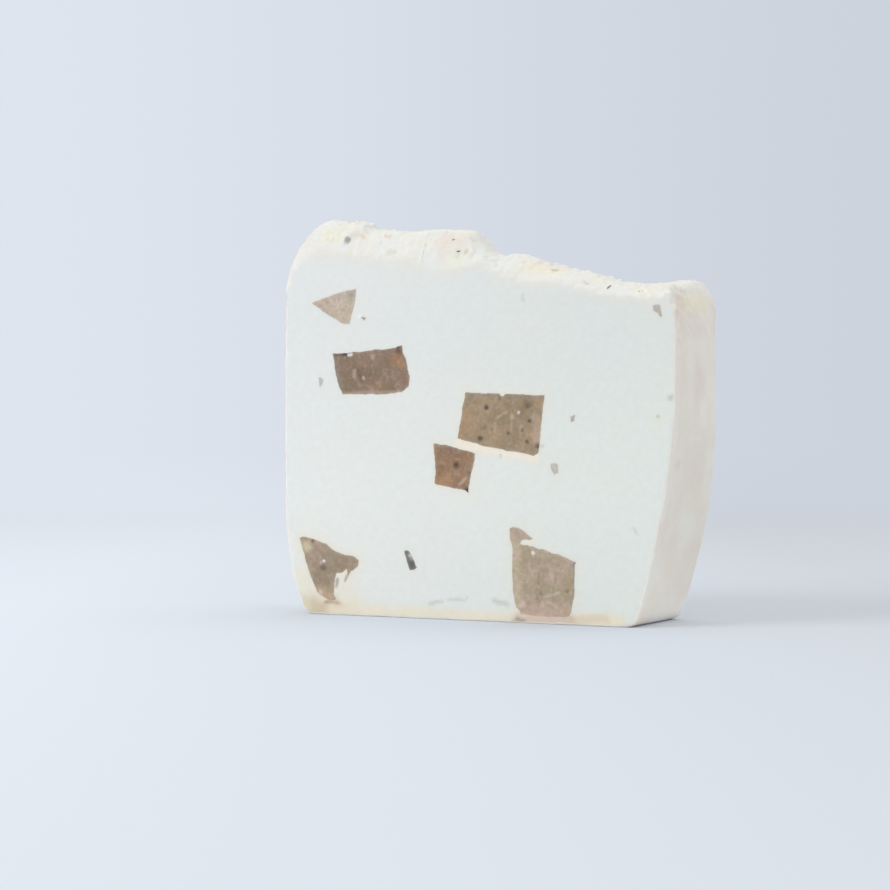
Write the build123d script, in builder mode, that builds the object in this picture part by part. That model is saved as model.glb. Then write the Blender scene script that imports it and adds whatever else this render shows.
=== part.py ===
"""A slice of cast soap: a white bar with a spooned top and older brown soap set into it.

The bar is cut across a loaf that was cast in a tray, so its outline is the tray's: a flat base,
sides that lean out from it and stand upright higher up, and an open top that was worked by hand
with a spoon while the soap was soft. Both broad faces are flat wire cuts. Pieces cut from an
older brown soap were stirred in before casting, so the wire cut through them too, and they end
flush with the front face. The long ones also show on the back.

X runs across the loaf, Y through the slice with the front face towards -Y, and Z up from the
base. The origin is at the middle of the slice, on the surface that the bar stands on.
All sizes are in millimetres.
"""

import math
import os

from build123d import *

# The slice
bar_width = 84.0
bar_height = 80.0
bar_thickness = 22.0

# The tray's section: each inset is measured inwards from the widest part of that side
left_base_inset = 4.9
left_lean_inset = 1.9
left_lean_height = 8.0
left_upright_height = 25.0
left_base_round = 3.0
right_base_inset = 7.7
right_lean_inset = 2.0
right_lean_height = 22.5
right_upright_height = 43.0
right_base_round = 1.8
edge_break = 0.4

# The crest, a ridge a little behind the front cut. Every drop is measured down from bar_height.
crest_setback = 6.0
saddle_inset = 22.0
saddle_drop = 2.7
step_place = 0.0
step_width = 5.6
mound_end_drop = 3.6
shelf_drop = 8.9
shelf_length = 3.5
low_drop = 15.1
low_length = 10.0

# The line where the front cut meets the top
front_mound_drop = 7.0
front_bank_length = 8.5
front_bank_drop = 9.0
front_dip_length = 6.0
front_dip_drop = 11.5
front_knob_drop = 10.8
front_shelf_drop = 13.2
front_low_drop = 18.1

# The line where the back cut meets the top. Its step lies this far to the left of the crest's.
back_step_lead = 7.0
back_mound_drop = 4.6
back_shelf_drop = 10.4
back_low_drop = 14.1

# How the top rolls over into each side
left_roll_width = 8.0
left_roll_drop = 6.2
right_roll_width = 3.6
right_roll_drop = 3.9
roll_power = 2.1

# The spoon's marks: one dish in the mound, and two troughs along the lower half
dish_inset = 21.5
dish_setback = 13.4
dish_length = 27.0
dish_width = 12.4
dish_depth = 2.4
trough_start_gap = 1.6
trough_end_inset = 2.0
trough_setback = 10.6
trough_spacing = 6.4
trough_width = 6.8
trough_depth = 1.2
trough_run_in = 7.0

# The top is sampled at this step. A sheet that overhangs the bar passes the samples this closely.
sample_step = 2.0
sheet_tolerance = 0.02
overhang = 3.0

# The brown soap: where each piece's cut section lies, its size, and how deep the piece goes.
# The long pieces run through the whole slice.
inner_share = 0.88
triangle_left_gap = 6.3
triangle_top_gap = 14.9
triangle_width = 10.2
triangle_height = 7.0
triangle_depth = 6.0
brick_left_gap = 11.2
brick_top_gap = 26.4
brick_width = 17.4
brick_height = 9.6
slab_place = -2.9
slab_middle_drop = 8.1
slab_width = 18.4
slab_height = 12.3
cube_side_gap = 5.2
cube_top_tuck = 2.4
cube_width = 8.9
cube_height = 9.6
cube_depth = 8.5
shard_left_gap = 3.5
shard_base_gap = 2.9
shard_width = 13.6
shard_height = 12.6
shard_depth = 7.0
block_right_gap = 20.0
block_base_gap = 1.3
block_width = 13.8
block_height = 17.0
chip_place = -14.6
chip_base_gap = 9.4
chip_width = 2.8
chip_height = 3.9
chip_depth = 2.5

# Crumbs that came off the brown soap when it was cut up
crumb_size = 2.2
crumb_depth = 1.2
left_crumb_gap = 7.9
left_crumb_drop = 34.6
tiny_crumb_gap = 1.1
tiny_crumb_lift = 0.5
top_crumb_gap = 2.8
top_crumb_drop = 22.4
top_crumb_share = 0.82
middle_crumb_gap = 5.3
middle_crumb_lift = 6.4
lower_crumb_gap = 1.2
lower_crumb_sink = 3.6

left_side = -bar_width / 2
right_side = bar_width / 2
front_cut = -bar_thickness / 2
back_cut = bar_thickness / 2
crest_place = front_cut + crest_setback
front_plane = Plane.XZ.offset(bar_thickness / 2)


def smooth_line(stations):
    """A curve through (place, height) stations that never swings past them."""
    places = [station[0] for station in stations]
    heights = [station[1] for station in stations]
    spans = [after - before for before, after in zip(places, places[1:])]
    rises = [after - before for before, after in zip(heights, heights[1:])]
    slopes = [rise / span for rise, span in zip(rises, spans)]
    tangents = [slopes[0]]
    for before, after in zip(slopes, slopes[1:]):
        tangents.append(2 * before * after / (before + after) if before * after > 0 else 0.0)
    tangents.append(slopes[-1])

    def height(place):
        index = 0
        while index < len(spans) - 1 and place > places[index + 1]:
            index += 1
        t = min(max((place - places[index]) / spans[index], 0.0), 1.0)
        start = (1 + 2 * t) * (1 - t) ** 2 * heights[index]
        start += t * (1 - t) ** 2 * spans[index] * tangents[index]
        end = t * t * (3 - 2 * t) * heights[index + 1]
        end += t * t * (t - 1) * spans[index] * tangents[index + 1]
        return start + end

    return height


saddle_place = left_side + saddle_inset
step_start = step_place - step_width / 2
step_end = step_place + step_width / 2
shelf_end = step_end + shelf_length
slope_end = right_side - low_length
front_dip_place = step_place - front_dip_length

crest_line = smooth_line(
    [
        (left_side, bar_height),
        (left_side + left_roll_width, bar_height),
        (saddle_place, bar_height - saddle_drop),
        (step_start, bar_height - mound_end_drop),
        (step_end, bar_height - shelf_drop),
        (shelf_end, bar_height - shelf_drop),
        (slope_end, bar_height - low_drop),
        (right_side, bar_height - low_drop),
    ]
)
front_line = smooth_line(
    [
        (left_side, bar_height - front_mound_drop),
        (front_dip_place - front_bank_length, bar_height - front_bank_drop),
        (front_dip_place, bar_height - front_dip_drop),
        (step_place, bar_height - front_knob_drop),
        (shelf_end, bar_height - front_shelf_drop),
        (slope_end, bar_height - front_low_drop),
        (right_side, bar_height - front_low_drop),
    ]
)
back_line = smooth_line(
    [
        (left_side, bar_height - back_mound_drop),
        (step_start - back_step_lead, bar_height - back_mound_drop),
        (shelf_end - back_step_lead, bar_height - back_shelf_drop),
        (slope_end, bar_height - back_low_drop),
        (right_side, bar_height - back_low_drop),
    ]
)


def side_roll(place):
    """How far the top has rolled down on its way into the left or the right side."""
    into_left = max(0.0, (left_side + left_roll_width - place) / left_roll_width)
    into_right = max(0.0, (place - right_side + right_roll_width) / right_roll_width)
    return left_roll_drop * into_left**roll_power + right_roll_drop * into_right**roll_power


def top_height(x, y):
    """The worked top: up from the front cut to the crest, then gently down to the back cut."""
    if y < crest_place:
        share = math.sin(math.pi / 2 * (y - front_cut) / crest_setback)
        height = front_line(x) + (crest_line(x) - front_line(x)) * share
    else:
        share = (y - crest_place) / (back_cut - crest_place)
        height = crest_line(x) + (back_line(x) - crest_line(x)) * share * share * (3 - 2 * share)
    return height - side_roll(x)


def evenly(start, end, step):
    """Places from start to end, both included, about one step apart."""
    count = max(2, round((end - start) / step))
    return [start + (end - start) * index / count for index in range(count + 1)]


top_sheet = Face.make_surface_from_array_of_points(
    [
        [(x, y, top_height(x, y)) for y in evenly(front_cut - overhang, back_cut + overhang, sample_step)]
        for x in evenly(left_side - overhang, right_side + overhang, sample_step)
    ],
    tol=sheet_tolerance,
)


def ball_radius(width, depth):
    """The radius of a round tool that leaves a hollow of this width and depth."""
    return (width**2 / 4 + depth**2) / (2 * depth)


def spoon_dish(start, end, setback, width, depth):
    """What the spoon took away where it was pressed in: a spindle that lies along the bar."""
    place_y = front_cut + setback
    start_height = top_height(start, place_y)
    end_height = top_height(end, place_y)
    radius = ball_radius(width, depth)
    lift = radius - depth
    length = math.hypot(end - start, end_height - start_height)
    half_length = length / 2 / math.sqrt(1 - (lift / radius) ** 2)
    press = Plane(
        origin=((start + end) / 2, place_y, (start_height + end_height) / 2 + lift),
        x_dir=(end - start, 0, end_height - start_height),
        z_dir=(0, -1, 0),
    )
    with BuildPart() as dish:
        with BuildSketch(press):
            with BuildLine():
                arc = EllipticalCenterArc((0, 0), half_length, radius, arc_size=180)
                Line(arc @ 0, arc @ 1)
            make_face()
        revolve(axis=Axis(press.origin, press.x_dir))
    return dish.part


def spoon_stroke(start, end, setback, width, depth, run_in):
    """What the spoon took away on a stroke along the bar: it dips in, follows the top, lifts off."""
    place_y = front_cut + setback
    radius = ball_radius(width, depth)
    middle = (start + end) / 2
    stations = [(start, radius)]
    stations += [(x, radius - depth) for x in (start + run_in, middle, end - run_in)]
    stations += [(end, radius)]
    with BuildPart() as stroke:
        with BuildLine() as path:
            Spline(*[(x, place_y, top_height(x, place_y) + lift) for x, lift in stations])
        with BuildSketch(path.line ^ 0):
            Circle(radius)
        sweep()
    return stroke.part


dish_start = left_side + dish_inset - dish_length / 2
dish_end = dish_start + dish_length
trough_start = step_end + trough_start_gap
trough_end = right_side - trough_end_inset
spoon_marks = [spoon_dish(dish_start, dish_end, dish_setback, dish_width, dish_depth)]
for setback in (trough_setback, trough_setback + trough_spacing):
    spoon_marks.append(
        spoon_stroke(trough_start, trough_end, setback, trough_width, trough_depth, trough_run_in)
    )


def brown_piece(label, left, bottom, width, height, corners, depth, lean=(0.0, 0.0)):
    """A piece of brown soap: its cut section on the front face, carried back into the bar.

    The corners are shares of the section's width and height. The inner end is a little smaller,
    and lies to one side by the lean, a share of the depth, because no piece lay square to the
    wire.
    """
    middle_x = left + width / 2
    middle_z = bottom + height / 2
    outline = [(left + across * width, bottom + up * height) for across, up in corners]
    inner_outline = [
        (
            middle_x + (x - middle_x) * inner_share + lean[0] * depth,
            middle_z + (z - middle_z) * inner_share + lean[1] * depth,
        )
        for x, z in outline
    ]
    with BuildPart() as piece:
        with BuildSketch(front_plane):
            with BuildLine():
                Polyline(*outline, close=True)
            make_face()
        with BuildSketch(front_plane.offset(-depth)):
            with BuildLine():
                Polyline(*inner_outline, close=True)
            make_face()
        loft(ruled=True)
    piece.part.label = label
    return piece.part


triangle_left = left_side + triangle_left_gap
triangle_bottom = bar_height - triangle_top_gap - triangle_height
slab_bottom = bar_height / 2 - slab_middle_drop
slab_right = slab_place + slab_width

brown_pieces = [
    brown_piece(
        "chunk_triangle",
        left=triangle_left,
        bottom=triangle_bottom,
        width=triangle_width,
        height=triangle_height,
        corners=[(0, 0.66), (1, 1), (0.95, 0.49), (0.84, 0), (0.71, 0.03), (0.39, 0.27)],
        depth=triangle_depth,
        lean=(0.15, -0.25),
    ),
    brown_piece(
        "chunk_dark_brick",
        left=left_side + brick_left_gap,
        bottom=bar_height - brick_top_gap - brick_height,
        width=brick_width,
        height=brick_height,
        corners=[(0, 0.87), (0.85, 1), (0.94, 0.76), (1, 0.21), (0.9, 0), (0.11, 0.01), (0.05, 0.23)],
        depth=bar_thickness,
        lean=(-0.1, 0.16),
    ),
    brown_piece(
        "chunk_centre_slab",
        left=slab_place,
        bottom=slab_bottom,
        width=slab_width,
        height=slab_height,
        corners=[(0.09, 1), (1, 0.93), (0.95, 0.24), (0.91, 0.05), (0.85, 0), (0.53, 0.09), (0, 0.24)],
        depth=bar_thickness,
        lean=(0.18, 0.14),
    ),
    brown_piece(
        "chunk_small_cube",
        left=slab_place - cube_side_gap,
        bottom=slab_bottom + cube_top_tuck - cube_height,
        width=cube_width,
        height=cube_height,
        corners=[(0, 1), (0.27, 0.98), (1, 0.82), (0.93, 0.47), (0.87, 0), (0.52, 0.09), (0.04, 0.16)],
        depth=cube_depth,
        lean=(-0.25, -0.18),
    ),
    brown_piece(
        "chunk_corner_shard",
        left=left_side + shard_left_gap,
        bottom=shard_base_gap,
        width=shard_width,
        height=shard_height,
        corners=[
            (0, 1),
            (0.43, 0.91),
            (0.58, 0.79),
            (0.89, 0.7),
            (1, 0.64),
            (0.97, 0.54),
            (0.68, 0.29),
            (0.58, 0.06),
            (0.43, 0),
            (0.31, 0.12),
            (0.07, 0.69),
        ],
        depth=shard_depth,
        lean=(0.2, 0.15),
    ),
    brown_piece(
        "chunk_corner_block",
        left=right_side - block_right_gap - block_width,
        bottom=block_base_gap,
        width=block_width,
        height=block_height,
        corners=[
            (0, 1),
            (0.15, 0.99),
            (0.37, 0.88),
            (0.23, 0.85),
            (0.19, 0.81),
            (0.34, 0.79),
            (1, 0.62),
            (0.96, 0.21),
            (0.9, 0),
            (0.16, 0),
            (0.08, 0.18),
            (0.04, 0.8),
        ],
        depth=bar_thickness,
        lean=(0.14, 0.08),
    ),
    brown_piece(
        "dark_chip",
        left=chip_place,
        bottom=chip_base_gap,
        width=chip_width,
        height=chip_height,
        corners=[(0, 0.95), (0.36, 1), (1, 0.13), (0.43, 0), (0.21, 0.41)],
        depth=chip_depth,
    ),
]


def crumb(label, left, bottom, width_share, height_share, corners):
    """A crumb of brown soap, its width and height given as shares of crumb_size."""
    width = crumb_size * width_share
    height = crumb_size * height_share
    return brown_piece(label, left, bottom, width, height, corners, depth=crumb_depth)


brown_pieces += [
    crumb(
        "crumb_left",
        left=left_side + left_crumb_gap,
        bottom=bar_height - left_crumb_drop,
        width_share=0.55,
        height_share=1,
        corners=[(0, 1), (1, 0.73), (0.25, 0)],
    ),
    crumb(
        "crumb_tiny",
        left=triangle_left + triangle_width + tiny_crumb_gap,
        bottom=triangle_bottom + tiny_crumb_lift,
        width_share=0.55,
        height_share=0.36,
        corners=[(0, 1), (1, 1), (0.75, 0)],
    ),
    crumb(
        "crumb_top_right",
        left=right_side - top_crumb_gap - crumb_size * top_crumb_share,
        bottom=bar_height - top_crumb_drop,
        width_share=top_crumb_share,
        height_share=1.05,
        corners=[(0, 0.91), (0.78, 1), (1, 0), (0.56, 0.09)],
    ),
    crumb(
        "crumb_middle_right",
        left=slab_right + middle_crumb_gap,
        bottom=slab_bottom + middle_crumb_lift,
        width_share=0.45,
        height_share=0.64,
        corners=[(0, 0.71), (1, 1), (0.8, 0.14), (0.1, 0)],
    ),
    crumb(
        "crumb_lower_right",
        left=slab_right + lower_crumb_gap,
        bottom=slab_bottom - lower_crumb_sink,
        width_share=0.73,
        height_share=1.05,
        corners=[(0, 0.91), (1, 1), (1, 0.17), (0.5, 0)],
    ),
]

# The white bar: the tray's section through the slice, under the worked top, round the brown soap
with BuildPart() as soap_body:
    with BuildSketch(front_plane) as tray_section:
        with BuildLine():
            base = Line((left_side + left_base_inset, 0), (right_side - right_base_inset, 0))
            right_lean = Spline(
                base @ 1,
                (right_side - right_lean_inset, right_lean_height),
                (right_side, right_upright_height),
                tangents=[(right_base_inset - right_lean_inset, right_lean_height), (0, 1)],
                tangent_scalars=[1, 1],
            )
            left_lean = Spline(
                base @ 0,
                (left_side + left_lean_inset, left_lean_height),
                (left_side, left_upright_height),
                tangents=[(left_lean_inset - left_base_inset, left_lean_height), (0, 1)],
                tangent_scalars=[1, 1],
            )
            right_upright = Line(right_lean @ 1, (right_side, bar_height + overhang))
            left_upright = Line(left_lean @ 1, (left_side, bar_height + overhang))
            Line(right_upright @ 1, left_upright @ 1)
        make_face()
        left_foot = tray_section.vertices().group_by(Axis.Y)[0].sort_by(Axis.X)[0]
        fillet(left_foot, radius=left_base_round)
        right_foot = tray_section.vertices().group_by(Axis.Y)[0].sort_by(Axis.X)[-1]
        fillet(right_foot, radius=right_base_round)
    extrude(amount=-bar_thickness)
    cut_faces = soap_body.faces().filter_by(Axis.Y)
    open_side = soap_body.edges().group_by(Axis.Z)[-1]
    cut_edges = [edge for edge in cut_faces.edges() if edge not in open_side]
    chamfer(cut_edges, length=edge_break)
    extrude(top_sheet, amount=bar_height, dir=(0, 0, 1), mode=Mode.SUBTRACT)
    add(spoon_marks, mode=Mode.SUBTRACT)
    add(brown_pieces, mode=Mode.SUBTRACT)
soap_body.part.label = "soap_body"

os.makedirs("parts", exist_ok=True)
for part in [soap_body.part, *brown_pieces]:
    export_step(part, f"parts/{part.label}.step")
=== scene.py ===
# %% [markdown]
# A slice of cast soap: how to dress a plain solid as a handmade bar
#
# The bar is white soap with pieces of an older brown soap cast into it. It was cut from a loaf
# with a wire, so both broad faces are flat and very smooth. The top was worked with a spoon while
# it was soft, so it is lumpy and a little creamier. The two ends took their shape and their
# dull skin from the tray.
#
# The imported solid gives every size. This script adds what the solid leaves out: crumbs along the
# crest, softened cut edges, ragged outlines on the brown pieces, seeds and herb flecks, and the
# finish of each soap.

import itertools
import math

import bpy
import numpy as np
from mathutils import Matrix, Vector
from mathutils.geometry import delaunay_2d_cdt


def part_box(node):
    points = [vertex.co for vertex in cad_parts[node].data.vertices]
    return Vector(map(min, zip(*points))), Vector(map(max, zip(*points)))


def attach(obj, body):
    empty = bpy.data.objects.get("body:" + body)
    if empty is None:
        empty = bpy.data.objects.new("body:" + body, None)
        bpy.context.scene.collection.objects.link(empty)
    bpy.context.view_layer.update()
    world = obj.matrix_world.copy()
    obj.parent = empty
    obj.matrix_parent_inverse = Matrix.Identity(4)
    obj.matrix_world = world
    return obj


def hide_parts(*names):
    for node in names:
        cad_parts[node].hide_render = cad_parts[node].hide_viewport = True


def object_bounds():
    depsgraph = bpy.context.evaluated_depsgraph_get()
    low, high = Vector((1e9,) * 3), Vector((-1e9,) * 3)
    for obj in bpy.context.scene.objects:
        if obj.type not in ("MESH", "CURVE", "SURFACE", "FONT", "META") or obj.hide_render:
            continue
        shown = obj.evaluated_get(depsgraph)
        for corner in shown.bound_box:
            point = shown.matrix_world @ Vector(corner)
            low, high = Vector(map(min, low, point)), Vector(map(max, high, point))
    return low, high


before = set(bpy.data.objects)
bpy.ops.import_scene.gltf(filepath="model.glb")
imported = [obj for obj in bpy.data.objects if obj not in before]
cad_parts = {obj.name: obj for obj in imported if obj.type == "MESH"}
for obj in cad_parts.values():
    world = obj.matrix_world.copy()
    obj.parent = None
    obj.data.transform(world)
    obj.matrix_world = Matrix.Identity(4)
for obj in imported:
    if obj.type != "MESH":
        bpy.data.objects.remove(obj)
solid_low, solid_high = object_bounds()
print("nodes:", sorted(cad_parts))
print("box of the solid:", tuple(solid_low), tuple(solid_high))

# %% [markdown]
# Everything is in metres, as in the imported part, and the small sizes below are written in
# millimetres times `mm`. The bar's own sides, cut faces and height are read from the solid's box,
# so the dressing follows the solid if its size changes.

# %% The bar's main sizes
mm = 0.001
left_side = solid_low.x
right_side = solid_high.x
front_cut = solid_low.y
back_cut = solid_high.y
bar_height = solid_high.z
bar_thickness = back_cut - front_cut
print("the bar is %.1f x %.1f x %.1f mm" % tuple((solid_high - solid_low) / mm))

# %% [markdown]
# The camera stands where the photograph was taken from: about 40 cm away, at two fifths of the bar's
# height above the table, turned 27 degrees to the right of the front face, and level. Level matters,
# because the upright edges then stay parallel in the picture.

# %% Camera
scene = bpy.context.scene
camera_turn = math.radians(26.8)
camera_place = (169.75 * mm, -358.24 * mm, 33.98 * mm)
camera_data = bpy.data.cameras.new("camera")
camera_data.lens = 80.9
camera_data.sensor_width = 36.0
camera_data.clip_start = 0.01
camera_data.clip_end = 50.0
camera = bpy.data.objects.new("camera", camera_data)
camera.location = camera_place
camera.rotation_euler = (math.radians(90.0), 0.0, camera_turn)
scene.collection.objects.link(camera)
scene.camera = camera
scene.view_settings.view_transform = "Standard"
print("camera at", tuple(round(value, 3) for value in camera.location))

# %% [markdown]
# The light is soft daylight: nearly the same from every side, with a little more from the front left
# and from above. A plain world gives the even part, and two large lamps give the rest. A third, weak
# lamp lifts the end that faces right. With surfaces this pale it is easy to clip to white, so the
# lamps stay weak and the soap's own colour does the work.

# %% Lamps
def soft_lamp(name, place, size, energy, colour):
    """A square lamp that looks at the middle of the bar."""
    data = bpy.data.lights.new(name, "AREA")
    data.shape = "SQUARE"
    data.size = size
    data.energy = energy
    data.color = colour
    lamp = bpy.data.objects.new(name, data)
    lamp.location = place
    aim = Vector((0.0, 0.0, bar_height / 2)) - lamp.location
    lamp.rotation_euler = aim.to_track_quat("-Z", "Y").to_euler()
    scene.collection.objects.link(lamp)
    return lamp


window = soft_lamp("window", (-0.6, -0.75, 0.6), 0.6, 3.85, (1.0, 0.99, 0.975))
ceiling = soft_lamp("ceiling", (0.2, 0.3, 1.2), 0.9, 2.1, (1.0, 0.995, 0.985))
bounce = soft_lamp("bounce", (0.9, -0.35, 0.12), 0.7, 0.75, (1.0, 0.995, 0.98))
print("lamps:", window.name, ceiling.name, bounce.name)

# %% [markdown]
# The background is a very pale blue grey, a little brighter on the left. It comes from the world's
# colour as the camera sees it, and not from more light: one background shader lights the scene
# evenly, and a second one, chosen by the kind of ray, is what the camera and reflections see. The
# floor is a wide disc. Near the bar it is an ordinary matt surface, so it catches the shadow, and
# far away it fades into the background's own colour, so that no horizon shows.

# %% World
def linear(red, green, blue):
    """A colour given as the usual 0 to 255 values, as the linear values that shaders take."""
    share = np.array([red, green, blue]) / 255.0
    low = share / 12.92
    high = ((share + 0.055) / 1.055) ** 2.4
    return (*np.where(share <= 0.04045, low, high), 1.0)


def add_node(tree, kind, operation=None, **inputs):
    """A new node with its inputs given by keyword.

    A keyword is the input's name in lower case with underscores, or in_ and its number. A socket
    is linked to the input, and anything else is set as its value.
    """
    node = tree.nodes.new(kind)
    if operation:
        node.operation = operation
    for name, value in inputs.items():
        if name.startswith("in_"):
            socket = node.inputs[int(name[3:])]
        else:
            known = {item.name.lower().replace(" ", "_"): item for item in node.inputs if item.enabled}
            socket = known[name]
        if isinstance(value, bpy.types.NodeSocket):
            tree.links.new(value, socket)
        else:
            socket.default_value = value
    return node


background_left = linear(222, 229, 238)
background_right = linear(205, 211, 221)
floor_left = linear(220, 228, 238)
floor_right = linear(205, 211, 219)
camera_right = (math.cos(camera_turn), math.sin(camera_turn), 0.0)
background_reach = 0.24


def left_to_right(tree, direction_socket, reach):
    """A share from 0 at the photograph's left to 1 at its right.

    It is the dot product of a unit direction with the camera's sideways direction, spread so that
    plus and minus reach become 1 and 0.
    """
    dot = add_node(tree, "ShaderNodeVectorMath", "DOT_PRODUCT", in_0=direction_socket, in_1=camera_right)
    spread = add_node(
        tree, "ShaderNodeMapRange", value=dot.outputs["Value"], from_min=-reach, from_max=reach
    )
    spread.interpolation_type = "SMOOTHSTEP"
    return spread.outputs["Result"]


def mixed_colour(tree, share_socket, first, second):
    """A colour between two, by a share."""
    mix = add_node(tree, "ShaderNodeMix", in_0=share_socket, in_6=first, in_7=second)
    mix.data_type = "RGBA"
    return mix.outputs[2]


world = bpy.data.worlds.new("soft_daylight")
scene.world = world
world.use_nodes = True
tree = world.node_tree
tree.nodes.clear()
direction = tree.nodes.new("ShaderNodeTexCoord").outputs["Generated"]
share = left_to_right(tree, direction, background_reach)
seen_colour = mixed_colour(tree, share, background_left, background_right)
seen = add_node(tree, "ShaderNodeBackground", color=seen_colour, strength=1.0)
room = add_node(tree, "ShaderNodeBackground", color=(1.0, 0.99, 0.975, 1.0), strength=0.82)
ray = tree.nodes.new("ShaderNodeLightPath").outputs
straight = add_node(
    tree, "ShaderNodeMath", "MAXIMUM", in_0=ray["Is Camera Ray"], in_1=ray["Is Glossy Ray"]
)
straight_or_through = add_node(
    tree, "ShaderNodeMath", "MAXIMUM", in_0=straight.outputs[0], in_1=ray["Is Transmission Ray"]
)
choose = add_node(
    tree, "ShaderNodeMixShader",
    in_0=straight_or_through.outputs[0], in_1=room.outputs[0], in_2=seen.outputs[0],
)
add_node(tree, "ShaderNodeOutputWorld", surface=choose.outputs[0])
print("world:", world.name)

# %% [markdown]
# The floor disc has two finishes that are blended by the distance from the bar. Near it a matt
# finish takes the bar's soft shadow, and its colour is painted lighter on the left and darker on
# the right, as painted light from the window side. From 16 cm on it turns by degrees into a
# surface that simply shows the background's colour in that direction.

# %% Floor
floor_radius = 6.0
floor_points = 96
near_reach = 0.1
fade_start, fade_end = 0.16, 0.9
turn = np.linspace(0.0, 2 * math.pi, floor_points, endpoint=False)
rim = np.stack([floor_radius * np.cos(turn), floor_radius * np.sin(turn), 0 * turn], axis=1)
floor_mesh = bpy.data.meshes.new("floor")
floor_mesh.from_pydata(rim.tolist(), [], [list(range(floor_points))])
floor = bpy.data.objects.new("floor", floor_mesh)
scene.collection.objects.link(floor)

floor_material = bpy.data.materials.new("pale_floor")
floor_material.use_nodes = True
tree = floor_material.node_tree
tree.nodes.clear()
where = tree.nodes.new("ShaderNodeTexCoord").outputs["Object"]
unit = add_node(tree, "ShaderNodeVectorMath", "NORMALIZE", in_0=where)
share = left_to_right(tree, unit.outputs[0], background_reach)
far_colour = mixed_colour(tree, share, background_left, background_right)
sideways = add_node(tree, "ShaderNodeVectorMath", "DOT_PRODUCT", in_0=where, in_1=camera_right)
near_share = add_node(
    tree, "ShaderNodeMapRange",
    value=sideways.outputs["Value"], from_min=-near_reach, from_max=near_reach,
)
# Painted light: the matt colour runs from lighter on the left to darker on the right.
near_colour = mixed_colour(tree, near_share.outputs["Result"], floor_left, floor_right)
matt = add_node(tree, "ShaderNodeBsdfDiffuse", color=near_colour)
glow = add_node(tree, "ShaderNodeEmission", color=far_colour, strength=1.0)
distance = add_node(tree, "ShaderNodeVectorMath", "LENGTH", in_0=where)
fade = add_node(
    tree, "ShaderNodeMapRange",
    value=distance.outputs["Value"], from_min=fade_start, from_max=fade_end,
)
fade.interpolation_type = "SMOOTHERSTEP"
blend = add_node(
    tree, "ShaderNodeMixShader",
    in_0=fade.outputs["Result"], in_1=matt.outputs[0], in_2=glow.outputs[0],
)
add_node(tree, "ShaderNodeOutputMaterial", surface=blend.outputs[0])
floor_mesh.materials.append(floor_material)
print("floor: a disc of radius", floor_radius, "m")

# %% [markdown]
# Soap that was stirred, poured and spooned is uneven at many sizes at once, from lumps of several
# millimetres down to grains. Smooth lattice noise makes that: a random value sits at each corner of
# a grid of cubes, and between the corners the values blend. Added up over finer and finer grids it
# looks like crumbs. The random values come from mixing the corner's whole numbers, so the same place
# has the same value on every run, and two pieces that meet get the same value at their seam.

# %% Noise
def corner_value(corner, seed):
    """A fixed value from -1 to 1 for each lattice corner, by mixing its three whole numbers."""
    mixed = corner[..., 0] * 73856093 ^ corner[..., 1] * 19349663 ^ corner[..., 2] * 83492791
    mixed = (mixed + seed * 7919) & 0xFFFFFFFF
    mixed = ((mixed ^ (mixed >> 15)) * 739982445) & 0xFFFFFFFF
    mixed = ((mixed ^ (mixed >> 12)) * 695872825) & 0xFFFFFFFF
    mixed = mixed ^ (mixed >> 15)
    return (mixed & 0xFFFFFF) / 0x7FFFFF - 1.0


def smooth_noise(points, cell, seed):
    """Lattice noise from -1 to 1: the eight corners of each cube, weighted by the smoothstep."""
    place = np.asarray(points) / cell
    corner = np.floor(place).astype(np.int64)
    share = place - corner
    share = share * share * (3 - 2 * share)
    total = np.zeros(place.shape[:-1])
    for step in itertools.product((0, 1), repeat=3):
        weight = np.prod(np.where(np.array(step) == 1, share, 1 - share), axis=-1)
        total += weight * corner_value(corner + np.array(step), seed)
    return total


def layered_noise(points, cell, layers, seed, fade=0.5):
    """Smooth noise summed over layers, each half the cell and fade times the height of the last."""
    total = np.zeros(np.asarray(points).shape[:-1])
    for layer in range(layers):
        total += fade**layer * smooth_noise(points, cell / 2**layer, seed + layer)
    return total


def crumb_noise(points, cell, seed):
    """Round crumbs: one minus the squared distance to the nearest of the scattered centres.

    Each lattice cube has one centre, moved off its middle by three corner values. The result is 1
    at a centre and falls to 0 one half cell away.
    """
    place = np.asarray(points) / cell
    home = np.floor(place).astype(np.int64)
    nearest = np.full(place.shape[:-1], 9.0)
    for step in itertools.product((-1, 0, 1), repeat=3):
        corner = home + np.array(step)
        jitter = np.stack([corner_value(corner, seed + axis) for axis in range(3)], axis=-1)
        centre = corner + 0.5 + 0.38 * jitter
        nearest = np.minimum(nearest, ((place - centre) ** 2).sum(axis=-1))
    return np.clip(1 - nearest / 0.25, 0.0, 1.0)


def smoothstep(value, start, end):
    """0 below start, 1 above end, and the cubic 3t^2 - 2t^3 between them."""
    share = np.clip((value - start) / (end - start), 0.0, 1.0)
    return share * share * (3 - 2 * share)


probe = np.random.default_rng(1).uniform(-0.04, 0.04, (4000, 3))
print("smooth noise spread: %.2f" % smooth_noise(probe, 2 * mm, 3).std())

# %% [markdown]
# The tray leans outwards from its base and stands upright higher up. Each end is therefore an inset
# that is largest at the base and fades to nothing: inset = base inset times (1 - height / upright
# height) to a power. At the right end the front cut leans a little more than the back cut. The
# foot, where an end meets the base, is a small round.

# %% The tray's ends
left_base_inset = 4.9 * mm
left_upright_height = 25.0 * mm
left_power = 2.45
right_base_inset = 8.1 * mm, 7.2 * mm
right_upright_height = 47.0 * mm, 37.0 * mm
right_power = 1.8


def end_inset(height, base_inset, upright_height, power):
    """How far an end stands in from its widest place, at some height above the base."""
    return base_inset * np.clip(1 - height / upright_height, 0.0, 1.0) ** power


def left_end(height):
    """The left end's place across the bar."""
    return left_side + end_inset(height, left_base_inset, left_upright_height, left_power)


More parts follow.
